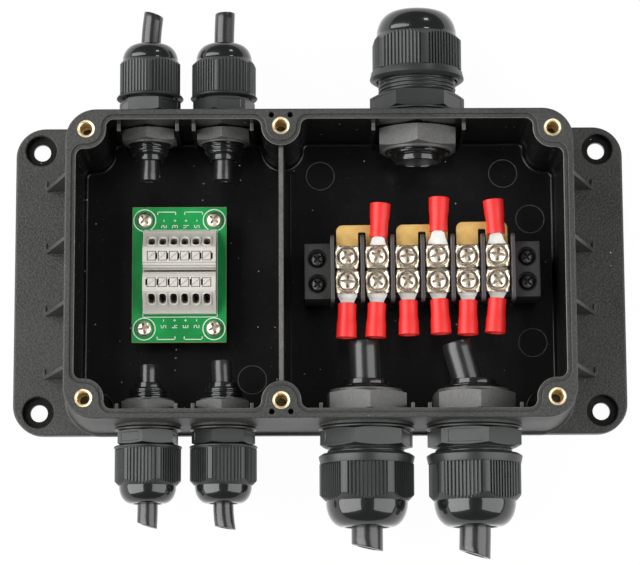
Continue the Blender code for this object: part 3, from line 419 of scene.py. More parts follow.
# Materials
def new_material(name, colour, roughness, metallic=0.0, **sockets):
    made = bpy.data.materials.new(name)
    made.use_nodes = True
    tree = made.node_tree
    shader = tree.nodes["Principled BSDF"]
    shader.inputs["Base Color"].default_value = (*colour, 1.0)
    shader.inputs["Roughness"].default_value = roughness
    shader.inputs["Metallic"].default_value = metallic
    for socket, value in sockets.items():
        shader.inputs[socket.replace("_", " ")].default_value = value
    return made, tree, shader


def places(tree):
    return tree.nodes.new("ShaderNodeTexCoord").outputs["Object"]


def stretched(tree, scale):
    made = tree.nodes.new("ShaderNodeMapping")
    made.inputs["Scale"].default_value = scale
    tree.links.new(places(tree), made.inputs["Vector"])
    return made.outputs["Vector"]


def noise(tree, scale, detail, place=None):
    made = tree.nodes.new("ShaderNodeTexNoise")
    made.inputs["Scale"].default_value = scale
    made.inputs["Detail"].default_value = detail
    tree.links.new(place or places(tree), made.inputs["Vector"])
    return made.outputs["Fac"]


def spread(tree, value, low, high, start=0.0, end=1.0):
    """Maps the value from low..high to start..end."""
    made = tree.nodes.new("ShaderNodeMapRange")
    for socket, number in (("From Min", low), ("From Max", high), ("To Min", start), ("To Max", end)):
        made.inputs[socket].default_value = number
    tree.links.new(value, made.inputs["Value"])
    return made.outputs["Result"]


def calculate(tree, operation, first, second):
    made = tree.nodes.new("ShaderNodeMath")
    made.operation = operation
    for socket, value in zip(made.inputs, (first, second)):
        if isinstance(value, (int, float)):
            socket.default_value = value
        else:
            tree.links.new(value, socket)
    return made.outputs["Value"]


def mixed(tree, share, first, second):
    """A colour between two, each a colour or a socket."""
    made = tree.nodes.new("ShaderNodeMix")
    made.data_type = "RGBA"
    tree.links.new(share, made.inputs[0])
    for socket, value in ((made.inputs[6], first), (made.inputs[7], second)):
        if isinstance(value, tuple):
            socket.default_value = (*value, 1.0)
        else:
            tree.links.new(value, socket)
    return made.outputs[2]


def finish_surface(tree, shader, tone, rough, height, strength, distance):
    """Links the tone and the roughness, and adds a bump of distance from the height."""
    bump = tree.nodes.new("ShaderNodeBump")
    bump.inputs["Strength"].default_value = strength
    bump.inputs["Distance"].default_value = distance * MM
    tree.links.new(height, bump.inputs["Height"])
    tree.links.new(tone, shader.inputs["Base Color"])
    tree.links.new(rough, shader.inputs["Roughness"])
    tree.links.new(bump.outputs["Normal"], shader.inputs["Normal"])


def specks(tree, scale, size, share):
    """1 on small scattered specks, 0 elsewhere."""
    made = tree.nodes.new("ShaderNodeTexVoronoi")
    made.inputs["Scale"].default_value = scale
    tree.links.new(places(tree), made.inputs["Vector"])
    near = spread(tree, made.outputs["Distance"], size * 0.6, size, 1.0, 0.0)
    split = tree.nodes.new("ShaderNodeSeparateColor")
    tree.links.new(made.outputs["Color"], split.inputs["Color"])
    chosen = calculate(tree, "LESS_THAN", split.outputs["Red"], share)
    return calculate(tree, "MULTIPLY", near, chosen)


def moulded(name, colour, roughness, grain=1800, bump=0.25, dust=0.0, vary=0.18, relief=0.05, **sockets):
    """Moulded plastic: slow changes of tone, a fine spark texture and specks of dust."""
    made, tree, shader = new_material(name, colour, roughness, **sockets)
    slow = noise(tree, 38, 4)
    fine = noise(tree, grain, 2)
    low, high = (tuple(c * level for c in colour) for level in (1 - vary, 1 + vary))
    slow_share = spread(tree, slow, 0.3, 0.7, 0.0, 0.4)
    fine_share = spread(tree, fine, 0.36, 0.64, 0.0, 0.6)
    tone = mixed(tree, calculate(tree, "ADD", slow_share, fine_share), low, high)
    if dust:
        tone = mixed(tree, specks(tree, 270, 0.1, dust * 0.3), tone, (0.4, 0.4, 0.38))
        tone = mixed(tree, specks(tree, 700, 0.11, dust * 0.2), tone, (0.12, 0.12, 0.115))
    rough = spread(tree, slow, 0.3, 0.7, roughness - 0.05, roughness + 0.06)
    finish_surface(tree, shader, tone, rough, fine, bump, relief)
    return made


def metal(name, colour, roughness, grain, tint, bump=0.12, streak=None):
    """Plated or bare metal with slight changes of gloss, tone and level."""
    made, tree, shader = new_material(name, colour, roughness, 1.0)
    fine = noise(tree, grain, 4, stretched(tree, streak) if streak else None)
    tone = mixed(tree, spread(tree, noise(tree, 260, 3), 0.35, 0.7), colour, tint)
    rough = spread(tree, fine, 0.3, 0.7, roughness * 0.75, roughness * 1.3)
    finish_surface(tree, shader, tone, rough, fine, bump, 0.04)
    return made


def board_finish():
    """Lacquered board: copper tracks show faintly under the green."""
    made, tree, shader = new_material("green_board", (0.004, 0.24, 0.05), 0.35, Specular_IOR_Level=0.3)
    fine = noise(tree, 1500, 2)
    share = spread(tree, noise(tree, 60, 3), 0.35, 0.65)
    tone = mixed(tree, share, (0.003, 0.19, 0.04), (0.006, 0.29, 0.062))
    finish_surface(tree, shader, tone, spread(tree, fine, 0.3, 0.7, 0.28, 0.42), fine, 0.1, 0.03)
    return made


FINISHES = {
    "abs": moulded(
        "black_abs", (0.034, 0.034, 0.032), 0.48, 1100, 1.0, 0.12, 0.5, 0.16, Specular_IOR_Level=0.36
    ),
    # smooth, glossier inside finish; its darker colour paints the shade inside the box and in the
    # counterbores, and the specks are dust
    "smooth": moulded(
        "smooth_abs_painted_shade", (0.0054, 0.0054, 0.0051), 0.24, 500, 0.06, 1.0, 0.3, Specular_IOR_Level=0.3
    ),
    # painted highlight: a lighter copy of the ABS for faces that catch the light
    "painted_highlight": moulded("abs_painted_highlight", (0.085, 0.085, 0.08), 0.4, 900, 0.3, 0.3, 0.3),
    # the steel clamp's dark tone, also painting the shade deep in the terminal wells
    "clamp": moulded("spring_clamp_and_painted_shade", (0.13, 0.11, 0.09), 0.5, 900, 0.2),
    "nylon": moulded("black_nylon", (0.0195, 0.0214, 0.0206), 0.36, 1400, 0.15, 0.15),
    "dome": moulded(
        "polished_nylon", (0.006, 0.0066, 0.0063), 0.24, 600, 0.03,
        Coat_Weight=1.0, Coat_Roughness=0.05, Coat_IOR=1.5, Specular_IOR_Level=0.2,
    ),
    "locknut": moulded("locknut_nylon", (0.066, 0.065, 0.061), 0.42, 1200, 0.3, 0.3, 0.35),
    "sheath": moulded(
        "cable_sheath", (0.012, 0.0122, 0.0118), 0.3, 1100, 0.08, vary=0.35,
        Coat_Weight=0.5, Coat_Roughness=0.16,
    ),
    # the seals' rubber, also used as painted shade in the fixing screws' cross recesses
    "rubber": moulded("seal_rubber_and_recess_shade", (0.012, 0.012, 0.012), 0.55, 1500, 0.2),
    "phenolic": moulded("black_phenolic", (0.042, 0.04, 0.0385), 0.5, 1300, 0.35, 0.2),
    "barrier": moulded("barrier_wall", (0.05, 0.042, 0.045), 0.45, 1300, 0.3),
    "grey": moulded("grey_plastic", (0.5, 0.475, 0.435), 0.42, 1500, 0.15, vary=0.05),
    "vinyl": moulded("red_vinyl", (0.64, 0.011, 0.009), 0.42, 1200, 0.15, vary=0.05),
    "board": board_finish(),
    "laminate": moulded("board_edge", (0.32, 0.36, 0.14), 0.6, 1500, 0.3, vary=0.1),
    "ink": moulded("white_ink", (0.66, 0.7, 0.64), 0.6, 2500, 0.1, vary=0.04),
    "nickel": metal("nickel_plate", (0.97, 0.89, 0.76), 0.34, 900, (0.87, 0.77, 0.62), 0.04),
    # a darker, browner copy of the nickel that paints the dark reflection on the washers' flat faces
    "washer": metal("washer_nickel_painted_shade", (0.84, 0.74, 0.58), 0.24, 900, (0.6, 0.5, 0.37), 0.05),
    "tin": metal("tinned_copper", (0.95, 0.95, 0.92), 0.62, 1400, (0.88, 0.89, 0.86)),
    "brass": metal("brass_sheet", (0.78, 0.54, 0.2), 0.56, 700, (0.67, 0.42, 0.14), streak=(1, 14, 1)),
    # painted shade: a darker copy of the nickel for the screws' cross recesses
    "recess": metal("recess_metal_painted_shade", (0.62, 0.53, 0.42), 0.42, 700, (0.48, 0.4, 0.31), 0.05),
    "insert": metal("insert_brass", (1.0, 0.87, 0.62), 0.4, 500, (0.95, 0.77, 0.49), 0.03),
    "oxide": metal("black_screw", (0.11, 0.105, 0.105), 0.32, 900, (0.07, 0.068, 0.068)),
}


# Cables
def smooth_route(points, step):
    ends = [points[0] * 2 - points[1]] + points + [points[-1] * 2 - points[-2]]
    route = []
    for a, b, c, d in zip(ends, ends[1:], ends[2:], ends[3:]):
        count = max(1, round((c - b).length / step))
        for i in range(count):
            t = i / count
            place = 2 * b + (c - a) * t + (2 * a - 5 * b + 4 * c - d) * t**2
            route.append(0.5 * (place + (3 * b - a - 3 * c + d) * t**3))
    route.append(points[-1])
    return route


def cable_data(name, route, radius, slant):
    """A tube round the route, in metres. Its outer end is cut on a slant, and both ends show the
    sheath's thickness round the filling."""
    mesh = bmesh.new()
    rings = []
    last = len(route) - 1
    cut_end = ((0.62, 0.25), (0.66, -0.05), (0.9, -0.02), (0.97, 0.06), (1.0, 0.3))

    def add_section(place, along, out, cut):
        across = along.cross(Vector((0, 0, 1))).normalized()
        ring = []
        for angle in around(40):
            push = out * cos(angle)
            spot = place + across * push + Vector((0, 0, out * sin(angle)))
            ring.append(mesh.verts.new(spot + along * (push / radius * cut)))
        rings.append(ring)

    first = (route[1] - route[0]).normalized()
    final = (route[last] - route[last - 1]).normalized()
    for out, back in cut_end:
        add_section(route[0] + first * back * MM, first, radius * out, slant)
    for number in range(1, last):
        along = (route[number + 1] - route[number - 1]).normalized()
        add_section(route[number], along, radius, slant * max(0.0, 1 - number / 4))
    for out, back in cut_end[::-1]:
        add_section(route[last] - final * back * MM, final, radius * out, 0.0)
    join_rings(mesh, rings)
    return mesh_data(mesh, name, "sheath", 40)


def build_cables():
    for name, (slant, points) in CABLES.items():
        kind, side = GLANDS[name][:2]
        route = smooth_route([Vector((x * MM, y * MM, GLAND_Z * MM)) for x, y in points], ROUTE_STEP * MM)
        data = cable_data(name + "_cable", route, kind.cable * MM, slant * MM)
        made = show(name + "_stub", data, node=name + "_cable")


# Glands
def gland_place(side, x):
    """Local +Z runs outwards along the gland's axis from the middle of the box."""
    return at(x, 0, GLAND_Z, -side * pi / 2, "X")


def nut_seat(name):
    kind, side, x, opening, turns = GLANDS[name]
    return GAP + COLLAR_LENGTH + kind.hex_length + opening


def hexagon_radius(inner):
    """Radius of a hexagon with a corner on +Y, as a function of the angle."""
    return lambda angle: inner / cos((angle + pi / 6) % (pi / 3) - pi / 6)


def panelled_radius(inner, depth):
    """The hexagon with a shallow recess in every second face."""
    plain = hexagon_radius(inner)

    def radius(angle):
        face = round(degrees(angle) / 60) % 6
        offset = abs((degrees(angle) + 30) % 60 - 30)
        sunk = depth if face % 2 == 0 and offset < 22.3 else 0.0
        return plain(angle) * (inner - sunk) / inner

    return radius


def gland_body_data(kind):
    """Local z = 0 is the outer face of the pad that the collar bears on."""
    thread = kind.thread
    hex_low = GAP + COLLAR_LENGTH
    seat = hex_low + kind.hex_length
    hex_high = seat - kind.shoulder
    barrel_end = seat + kind.grip_length * 0.72
    corner = hexagon_radius(kind.hex)
    panel = panelled_radius(kind.hex, 0.16)
    inner = kind.hex - 0.4
    tail = -kind.tail
    step = tail + 2.3
    root = kind.barrel - 0.8

    def chamfer(angle):
        return (corner(angle) - inner) * 0.28

    end_ring = ((-1.0, 0.6), (-0.9, 0.15), (-0.7, 0.0), (-0.35, 0.0), (-0.1, 0.12), (0.0, 0.4))
    rows = rows_from(kind.tail_end, tail, end_ring)
    rows += rows_from(kind.tail_end, step, ((0.05, -0.35), (0.3, 0.0)))
    rows += rows_from(thread, step, ((-1.2, 0.1), (-0.85, 0.4)))
    rows += thread_rows(step + 0.5, tail + 9.4, THREAD_PITCH, thread - 0.2, thread - 0.75)
    rows += [(thread - 0.2, tail + 9.6), (thread - 0.2, GAP)]
    rows += rows_from(kind.collar, GAP, ((-0.4, 0.0), (-0.1, 0.1), (0.0, 0.4)))
    rows += rows_from(kind.collar, hex_low, ((-0.1, -0.15), (-0.5, 0.0)))
    rows += [(inner, hex_low), (corner, lambda a: hex_low + chamfer(a)), (corner, hex_low + 1.1)]
    rows += [(panel, hex_low + 1.25), (panel, hex_high - 1.25), (corner, hex_high - 1.1)]
    rows += [(corner, lambda a: hex_high - chamfer(a)), (inner, hex_high)]
    rows += [(root + 0.3, hex_high), (root, hex_high + 0.3)]
    rows += thread_rows(hex_high + 0.4, seat + 7.0, NUT_PITCH, kind.barrel, root, 10)
    rows += [(root, barrel_end), (root - 1.2, barrel_end), (kind.bore, barrel_end - 3)]
    mesh = bmesh.new()
    add_turned(mesh, rows, HEX_ANGLES, loop=True)

    tip = seat + kind.lip_length + kind.grip_length + kind.dome_length * 0.3
    fingers = 14
    for turn in around(fingers):
        finger = bmesh.new()
        levels = []
        for share in (0.0, 0.35, 0.8, 1.0):
            height = barrel_end - 2 + (tip - barrel_end + 2) * share
            drop = max(0.0, share - 0.35) / 0.65
            outside = root - 0.1 - (root - kind.throat - 2) * drop
            inside = outside - 1.5 * (1 - 0.35 * drop)
            half = outside * pi / fingers * 0.72
            levels.append((rectangle(inside, -half, outside, half), height))
        add_loft(finger, levels)
        take_in(mesh, finger, Matrix.Rotation(turn, 4, "Z"))
    data = mesh_data(mesh, "gland_body", "nylon dome", 28)
    for face in data.polygons:
        face.material_index = 1 if face.center.z < -CAVITY_WALL * MM else 0
    return data


def seal_data(kind, inner):
    """The rubber ring inside the clamping fingers."""
    hex_high = GAP + COLLAR_LENGTH + kind.hex_length
    low = hex_high + kind.grip_length * 0.55
    tip = hex_high + kind.lip_length + kind.grip_length + kind.dome_length * 0.34
    wide = kind.bore - 0.1
    narrow = kind.throat + 0.9
    rows = [(inner, low), (wide, low), (wide, tip - 4.5)]
    rows += rows_from(narrow, tip, ((0.0, -1.2), (0.0, -0.4), (-0.3, 0.0)))
    rows += rows_from(inner, tip, ((0.4, 0.0), (0.0, -0.4)))
    return turned_data("seal", rows, 48, "rubber", 40)


def grip_columns(kind):
    """Angle and height of the rib there, from 0 to 1, once round the nut. A corner of the hexagonal
    grip lies on +X."""
    half = kind.ribs * kind.rib_pitch / 2
    edge = atan2(half, kind.face)
    columns = []
    for face in range(6):
        middle = radians(60 * face + 30)
        for rib in range(kind.ribs):
            for t, rise in ((0.0, 0.0), (0.19, 0.08), (0.27, 0.92), (0.5, 1.0), (0.73, 0.92), (0.81, 0.08)):
                columns.append((middle + atan2((rib + t) * kind.rib_pitch - half, kind.face), rise))
        columns.append((middle + edge, 0.1))
        for share in (0.12, 0.3, 0.5, 0.7, 0.88):
            columns.append((middle + edge + (pi / 3 - 2 * edge) * share, 1.0))
    return columns


def sealing_nut_data(kind):
    """Local z = 0 is the nut's inner end face, and a corner of its grip lies on +X."""
    rises = dict(grip_columns(kind))
    centre = (kind.face - kind.round) / cos(pi / 6)

    def grip(angle):
        offset = (angle % (pi / 3)) - pi / 6
        from_corner = pi / 6 - abs(offset)
        flat = kind.face / cos(offset)
        if kind.face * tan(abs(offset)) > centre / 2:
            sag = kind.round**2 - (centre * sin(from_corner)) ** 2
            flat = centre * cos(from_corner) + sqrt(max(0.0, sag))
        return flat - kind.rib_depth * (1 - rises[angle])

    low = kind.bead
    high = kind.lip_length + kind.grip_length
    top = high + kind.dome_length
    bore = kind.barrel + GAP
    bevel = 0.12
    edge = kind.bevel * 0.62

    def grip_end(angle):
        return high - (grip(angle) - kind.dome) * 0.95

    rows = [(bore, 0.9), (kind.barrel + 0.9, 0), (kind.lip - kind.bevel, 0)]
    rows += rows_from(kind.lip, edge, ((-0.15, -0.05), (0.0, 0.15), (-0.04, 0.4)))
    rows += [(kind.lip - kind.flare * 0.8, low - 0.3), (kind.lip - kind.flare, low)]
    rows += [(lambda a: grip(a) + 0.02, low), (grip, low + 0.15)]
    rows += [(grip, lambda a: grip_end(a) - bevel), (lambda a: grip(a) - bevel, grip_end)]
    rows += rows_from(kind.dome, high, ((0.1, -0.05), (0.0, 0.1)))
    for step in range(1, 15):
        turn = pi / 2 * step / 14
        radius = kind.mouth + (kind.dome - kind.mouth) * cos(turn)
        rows.append((radius, high + kind.dome_length * sin(turn) ** 0.96))
    rows += rows_from(kind.mouth, top, ((-0.25, -0.08), (-0.4, -0.4), (-0.4, -1.4)))
    rows += [(bore, high - 1)]
    data = turned_data("sealing_nut", rows, list(rises), "nylon dome", 32)
    for face in data.polygons:
        x, y, z = face.center / MM
        face.material_index = 1 if z > high - 0.2 and hypot(x, y) < kind.dome + 0.08 else 0
    return data


def locknut_data(kind):
    """Local z = 0 is the face that bears on the inside of the wall, and the nut runs to -z."""
    end = -kind.locknut_length
    low = end - kind.locknut_length * 0.13
    corner = hexagon_radius(kind.locknut)
    inner = kind.locknut - 0.25
    bore = kind.thread + 0.1

    def chamfer(angle):
        return (corner(angle) - inner) * 0.34

    rows = [(bore, 0), (inner, 0)]
    rows += [(corner, lambda a: -chamfer(a) * 0.6), (corner, lambda a: end + chamfer(a))]
    rows += rows_from(inner, end, ((0.0, 0.0), (-0.35, 0.0), (-0.5, -0.1)))
    rows += rows_from(inner, low, ((-0.5, 0.3), (-0.65, 0.05), (-0.9, 0.0)))
    rows += [(bore + 0.7, low), (bore, low + 0.5)]
    return turned_data("locknut", rows, HEX_ANGLES, "locknut", 28)


def build_glands():
    # kept under the radius of their thread
    meshes = {}
    for kind in (SMALL, LARGE):
        seal = seal_data(kind, kind.cable + 0.02)
        meshes[kind.thread] = (gland_body_data(kind), sealing_nut_data(kind), locknut_data(kind), seal)
    open_seal = seal_data(LARGE, LARGE.throat - 0.4)
    for name, (kind, side, x, opening, turns) in GLANDS.items():
        body, nut, locknut, seal = meshes[kind.thread]
        axis = gland_place(side, x)
        hex_turn, lock_turn, nut_turn = (side * radians(turn) for turn in turns)
        up = 0 if side < 0 else pi
        place = axis @ at(0, 0, PAD_Y, up + hex_turn)
        show(name + "_body", body, place=place, node=name + "_gland_body")
        show(name + "_seal", seal if name in CABLES else open_seal, place=place)
        place = axis @ at(0, 0, PAD_Y + nut_seat(name), nut_turn - side * pi / 2)
        node = name + "_sealing_nut"
        show(name + "_dome_nut", nut, node, place, node)
        place = axis @ at(0, 0, CAVITY[1] / 2 - GAP, up + lock_turn)
        show(name + "_lock_ring", locknut, place=place, node=name + "_locknut")


# Enclosure
def boss_fillet(boss, radius, fillet, wall, along):
    normal, distance = wall
    tangent = Vector((normal.y, -normal.x)) * along
    rise = distance + fillet - boss.dot(normal)
    run = sqrt((radius + fillet) ** 2 - rise**2)
    return boss + tangent * run + normal * rise


def turn_between(centre, start, end, direction):
    first = atan2(start.y - centre.y, start.x - centre.x)
    last = atan2(end.y - centre.y, end.x - centre.x)
    while (last - first) * direction < 0:
        last += FULL * direction
    return first, last


def cavity_outline(grow):
    """Plan of the inside with the six bosses standing into it, cut back by grow."""
    half_x, half_y = (side / 2 + grow for side in CAVITY)
    radius = BOSS_RADIUS - grow
    fillet = BOSS_FILLET + grow
    south = (Vector((0, 1)), -half_y)
    east = (Vector((-1, 0)), -half_x)
    north = (Vector((0, -1)), -half_y)
    west = (Vector((1, 0)), -half_x)
    x, y = CORNER_BOSS
    stops = (
        ((DIVIDER_X, -MIDDLE_BOSS_Y), south, south),
        ((x, -y), south, east),
        ((x, y), east, north),
        ((DIVIDER_X, MIDDLE_BOSS_Y), north, north),
        ((-x, y), north, west),
        ((-x, -y), west, south),
    )
    outline = []
    for spot, before, after in stops:
        boss = Vector(spot)
        first = boss_fillet(boss, radius, fillet, before, -1)
        second = boss_fillet(boss, radius, fillet, after, 1)
        on_wall = first - before[0] * fillet
        meets = first.lerp(boss, fillet / (radius + fillet))
        leaves = second.lerp(boss, fillet / (radius + fillet))
        off_wall = second - after[0] * fillet
        outline += arc(first, fillet, *turn_between(first, on_wall, meets, 1), 7)
        outline += arc(boss, radius, *turn_between(boss, meets, leaves, -1), 22)[1:-1]
        outline += arc(second, fillet, *turn_between(second, leaves, off_wall, 1), 7)
    return outline


def four(x, y):
    """The place and its three mirror images, those with the same x first."""
    return [(sx * x, sy * y) for sx in (1, -1) for sy in (1, -1)]


def lid_screws():
    return four(*CORNER_BOSS) + [(DIVIDER_X, MIDDLE_BOSS_Y), (DIVIDER_X, -MIDDLE_BOSS_Y)]


def board_holes():
    return [(BOARD[0] + x, BOARD[1] + y) for x, y in four(-BOARD_HOLES[0], BOARD_HOLES[1])]


def wall_outline(z, grow):
    share = (z - PLATE_THICKNESS / 2) / (BOX_HEIGHT - PLATE_THICKNESS / 2)
    return grown([a + (b - a) * share for a, b in zip(FOOT, RIM)], grow)


def add_outer_walls(mesh):
    levels = [(wall_outline(3, 1.0), 3), (wall_outline(PLATE_THICKNESS, 1.0), PLATE_THICKNESS)]
    for grow, rise in ((0.55, 0.12), (0.25, 0.32), (0.08, 0.6), (0.0, 1.0)):
        z = PLATE_THICKNESS + rise
        levels.append((wall_outline(z, grow), z))
    for inset, rise in edge_round(0.7, 4):
        levels.append((wall_outline(BOX_HEIGHT, -inset), BOX_HEIGHT + rise))
    add_loft(mesh, levels)


def add_gussets(mesh):
    low = 4
    top = PLATE_THICKNESS
    outline = ((11.9, low), (11.9, top + 0.2), (11.1, top + 0.9), (0.6, 39.5), (0, 41), (-1, 41), (-1, low))
    for side in (1, -1):
        for number in range(GUSSETS):
            y = GUSSET_MIDDLE_Y + (number - (GUSSETS - 1) / 2) * GUSSET_PITCH
            rim = side * RIM[0] / 2
            web = [(rim + side * out, z) for out, z in outline]
            add_block(mesh, web, -0.9, 0.9, 0.3, at(0, y, 0, pi / 2, "X"))
            foot = rectangle(rim + side * 11.0, y, rim + side * 12.1, y + 3.2)
            add_block(mesh, foot, low, top + 0.7, 0.25)


def add_gland_pads(mesh):
    for kind, side, x, opening, turns in GLANDS.values():
        pad = bmesh.new()
        radius = kind.collar - 0.3
        low = CAVITY[1] / 2 + 1
        rows = [(0, low), (radius, low)]
        rows += [(radius - inset, PAD_Y + rise) for inset, rise in edge_round(0.4, 3)]
        add_turned(pad, rows + [(0, PAD_Y)], 72)
        take_in(mesh, pad, gland_place(side, x))


def add_cavity(mesh):
    levels = [(cavity_outline(-inset), FLOOR - rise) for inset, rise in edge_round(1.4, 4)[::-1]]
    ledge = ((0.0, 48.6), (0.08, 48.85), (0.3, 49.0), (1.7, 49.02), (1.7, 49.6), (1.8, 49.85), (2.1, 50.0))
    for grow, z in ledge + ((2.1, 51.0),):
        levels.append((cavity_outline(grow), z))
    add_loft(mesh, levels)


def add_inside(mesh):
    """The divider with the rib beside it, the ribs beside the glands, the posts under the board, the
    ejector marks and the strip's pads."""
    reach = MIDDLE_BOSS_Y - BOSS_RADIUS / 2
    low = INSIDE_LOW
    levels = []
    for side, z in ((1.35, low), (0.95, 44.55), (0.65, 45)):
        levels.append((rectangle(DIVIDER_X - side, -reach, DIVIDER_X + side, reach), z))
    add_loft(mesh, levels)
    rib = rectangle(DIVIDER_X + 2.9, 6 - reach, DIVIDER_X + 3.5, reach - 6)
    add_block(mesh, rib, low, FLOOR + 0.35, 0.12)
    for kind, side, x, opening, turns in GLANDS.values():
        for offset in (-kind.rib_offset, kind.rib_offset):
            left = x + offset - 0.75
            rib = rectangle(left, side * (CAVITY[1] / 2 - 3), left + 1.5, side * (CAVITY[1] / 2 + 1))
            add_block(mesh, rib, low, RIB_TOP, 0.3)
    for spot in board_holes():
        top = BOARD_BOTTOM - GAP
        add_turned(mesh, [(0, low), (3.4, low), (3.4, top - 0.3), (3.1, top), (0, top)], 32, centre=spot)
    for spot in EJECTORS:
        rows = [(5.5, 2.0), (5.55, 3.05), (5.7, 3.2), (5.85, 3.2), (6.0, 3.05), (6.05, 2.0)]
        add_turned(mesh, rows, 64, loop=True, centre=spot)
    for end in (1, -1):
        outer = STRIP[0] + end * STRIP_SIZE[0] / 2
        half = STRIP_PADS[1] / 2
        pad = rectangle(outer, STRIP[1] - half, outer - end * STRIP_PADS[0], STRIP[1] + half)
        add_block(mesh, pad, low, STRIP_BOTTOM - GAP, 0.4)


def add_holes(mesh):
    """The mounting holes with their counterbores, the lid inserts' seats, the small holes beside the
    middle bosses, the board screws' holes and the glands' bores."""
    rows = [(0, -1), (3.8, -1), (3.8, 0), (3.5, 0.3), (3.5, 2.35), (3.7, 2.5), (6.3, 2.5), (6.3, 6.1)]
    rows += [(6.7, 6.5), (6.7, 7.5), (0, 7.5)]
    for spot in four(*MOUNTING_HOLE):
        add_turned(mesh, rows, 56, centre=spot)
    for spot in lid_screws():
        add_prism(mesh, circle(spot, INSERT_RADIUS, 48), BOX_HEIGHT - INSERT_LENGTH - 0.1, BOX_HEIGHT + 1)
    rows = [(0, 40), (1.1, 40), (1.1, 49.8), (1.3, 50), (1.3, 51), (0, 51)]
    for x, y in four(*DIVIDER_HOLES):
        add_turned(mesh, rows, 28, centre=(DIVIDER_X + x, y))
    for spot in board_holes():
        add_prism(mesh, circle(spot, BOARD_HOLE_RADIUS, 24), 9, BOARD_TOP)
    for kind, side, x, opening, turns in GLANDS.values():
        bore = bmesh.new()
        radius = kind.thread + GAP
        low = CAVITY[1] / 2 - 1
        high = PAD_Y + 1
        add_turned(bore, [(0, low), (radius, low), (radius, high), (0, high)], 64)
        take_in(mesh, bore, gland_place(side, x))


def near(spots, x, y, reach):
    return any(hypot(x - spot[0], y - spot[1]) < reach for spot in spots)


def enclosure_finish(face):
    """0 for the textured outside, 1 for the smooth inside, whose darker colour paints its shade, and 2 for a
    painted highlight: a lighter colour on the ledge, on upward faces high in the box and on the ejector
    rings.
    """
    x, y, z = face.center / MM
    up = face.normal.z
    inside = abs(x) < CAVITY[0] / 2 + 0.05 and abs(y) < CAVITY[1] / 2 + 0.05 and z < 48.7
    ledge = 48.55 < z < 49.0 and 0.15 < up < 0.98
    ejector = 3.02 < z < 3.4 and near(EJECTORS, x, y, 6.3)
    # painted highlight on the ledge, on upward faces high inside and on the ejector rings
    if ledge or (up > 0.3 and ((inside and z > 30) or ejector)):
        return 2
    counterbore = z > 0.1 and near([MOUNTING_HOLE], abs(x), abs(y), 6.4)
    # the inside and the counterbores take the smooth finish with its painted shade
    return 1 if (inside and z > 2.5) or counterbore else 0


def build_enclosure():
    plate = bmesh.new()
    levels = [(grown(PLATE, -0.4), 0), (grown(PLATE, -0.1), 0.15), (grown(PLATE, 0), 0.45)]
    levels += [(grown(PLATE, -inset), PLATE_THICKNESS + rise) for inset, rise in edge_round(0.9, 4)]
    add_loft(plate, levels)
    data = mesh_data(plate, "enclosure", "abs")
    for builder, operation in (
        (add_outer_walls, "UNION"),
        (add_gussets, "UNION"),
        (add_gland_pads, "UNION"),
        (add_cavity, "DIFFERENCE"),
        (add_inside, "UNION"),
        (add_holes, "DIFFERENCE"),
    ):
        mesh = bmesh.new()
        builder(mesh)
        data = cut_mesh(data, mesh, operation)
    for finish in ("smooth", "painted_highlight"):
        data.materials.append(FINISHES[finish])
    for face in data.polygons:
        face.material_index = enclosure_finish(face)
    keep_flat(show("moulded_box", sharpen(data, 24), node="enclosure"))


def build_inserts():
    rows = [(3.58, -INSERT_LENGTH), (3.58, -0.15), (3.45, 0.0), (2.95, 0.0), (2.75, -0.1)]
    rows += [(2.4, -0.6), (2.3, -1.2), (2.25, -7.5)]
    rows += thread_rows(-11.8, -8.0, 0.8, 2.05, 2.22)[::-1]
    rows += [(2.22, -INSERT_LENGTH)]
    data = turned_data("lid_insert", rows, 56, "insert", 34)
    for number, spot in enumerate(lid_screws(), 1):
        show(f"lid_insert_{number}", data, place=at(*spot, BOX_HEIGHT, number * 1.3))


# Screws
def cross_cutter(reach, width, depth, top, slot=None):
    """Two crossing tapered bars that sink depth below top, and a slot across the head."""
    mesh = bmesh.new()
    half = width / 2
    for turn in (0, pi / 2):
        bar = bmesh.new()
        wide = rectangle(-reach, -half, reach, half)
        deep = rectangle(-reach * 0.6, -half * 0.75, reach * 0.6, half * 0.75)
        add_loft(bar, [(deep, top - depth), (wide, top - depth * 0.15), (wide, top + 1)])
        take_in(mesh, bar, Matrix.Rotation(turn, 4, "Z"))
    if slot:
        length, across, sunk = slot
        add_prism(mesh, rectangle(-length, -across / 2, length, across / 2), top - sunk, top + 1)
    return mesh


def pan_head(name, radius, height, shank, length, cutter, finishes):
    """A screw whose head stands on z = 0, with a domed head and its shank below."""
    rows = [(0, -length), (shank * 0.8, -length), (shank, 0.4 - length), (shank, 0)]
    rows += [(radius - 0.15, 0), (radius, 0.15)]
    for step in range(13):
        turn = pi / 2 * step / 13
        rows.append((radius * cos(turn) ** 0.8, height * (0.36 + 0.64 * sin(turn))))
    mesh = bmesh.new()
    add_turned(mesh, rows + [(0, height)], 48)
    data = cut_mesh(mesh_data(mesh, name, finishes), cutter)
    # painted shade: faces sunk in the cross recess take the second, darker finish
    for face in data.polygons:
        x, y, z = face.center / MM
        out = min(1.0, hypot(x, y) / radius)
        dome = height * (0.36 + 0.64 * sqrt(1 - out**2.5))
        face.material_index = 1 if 0.1 < z < dome - 0.09 and out < 0.93 else 0
    return sharpen(data, 36)


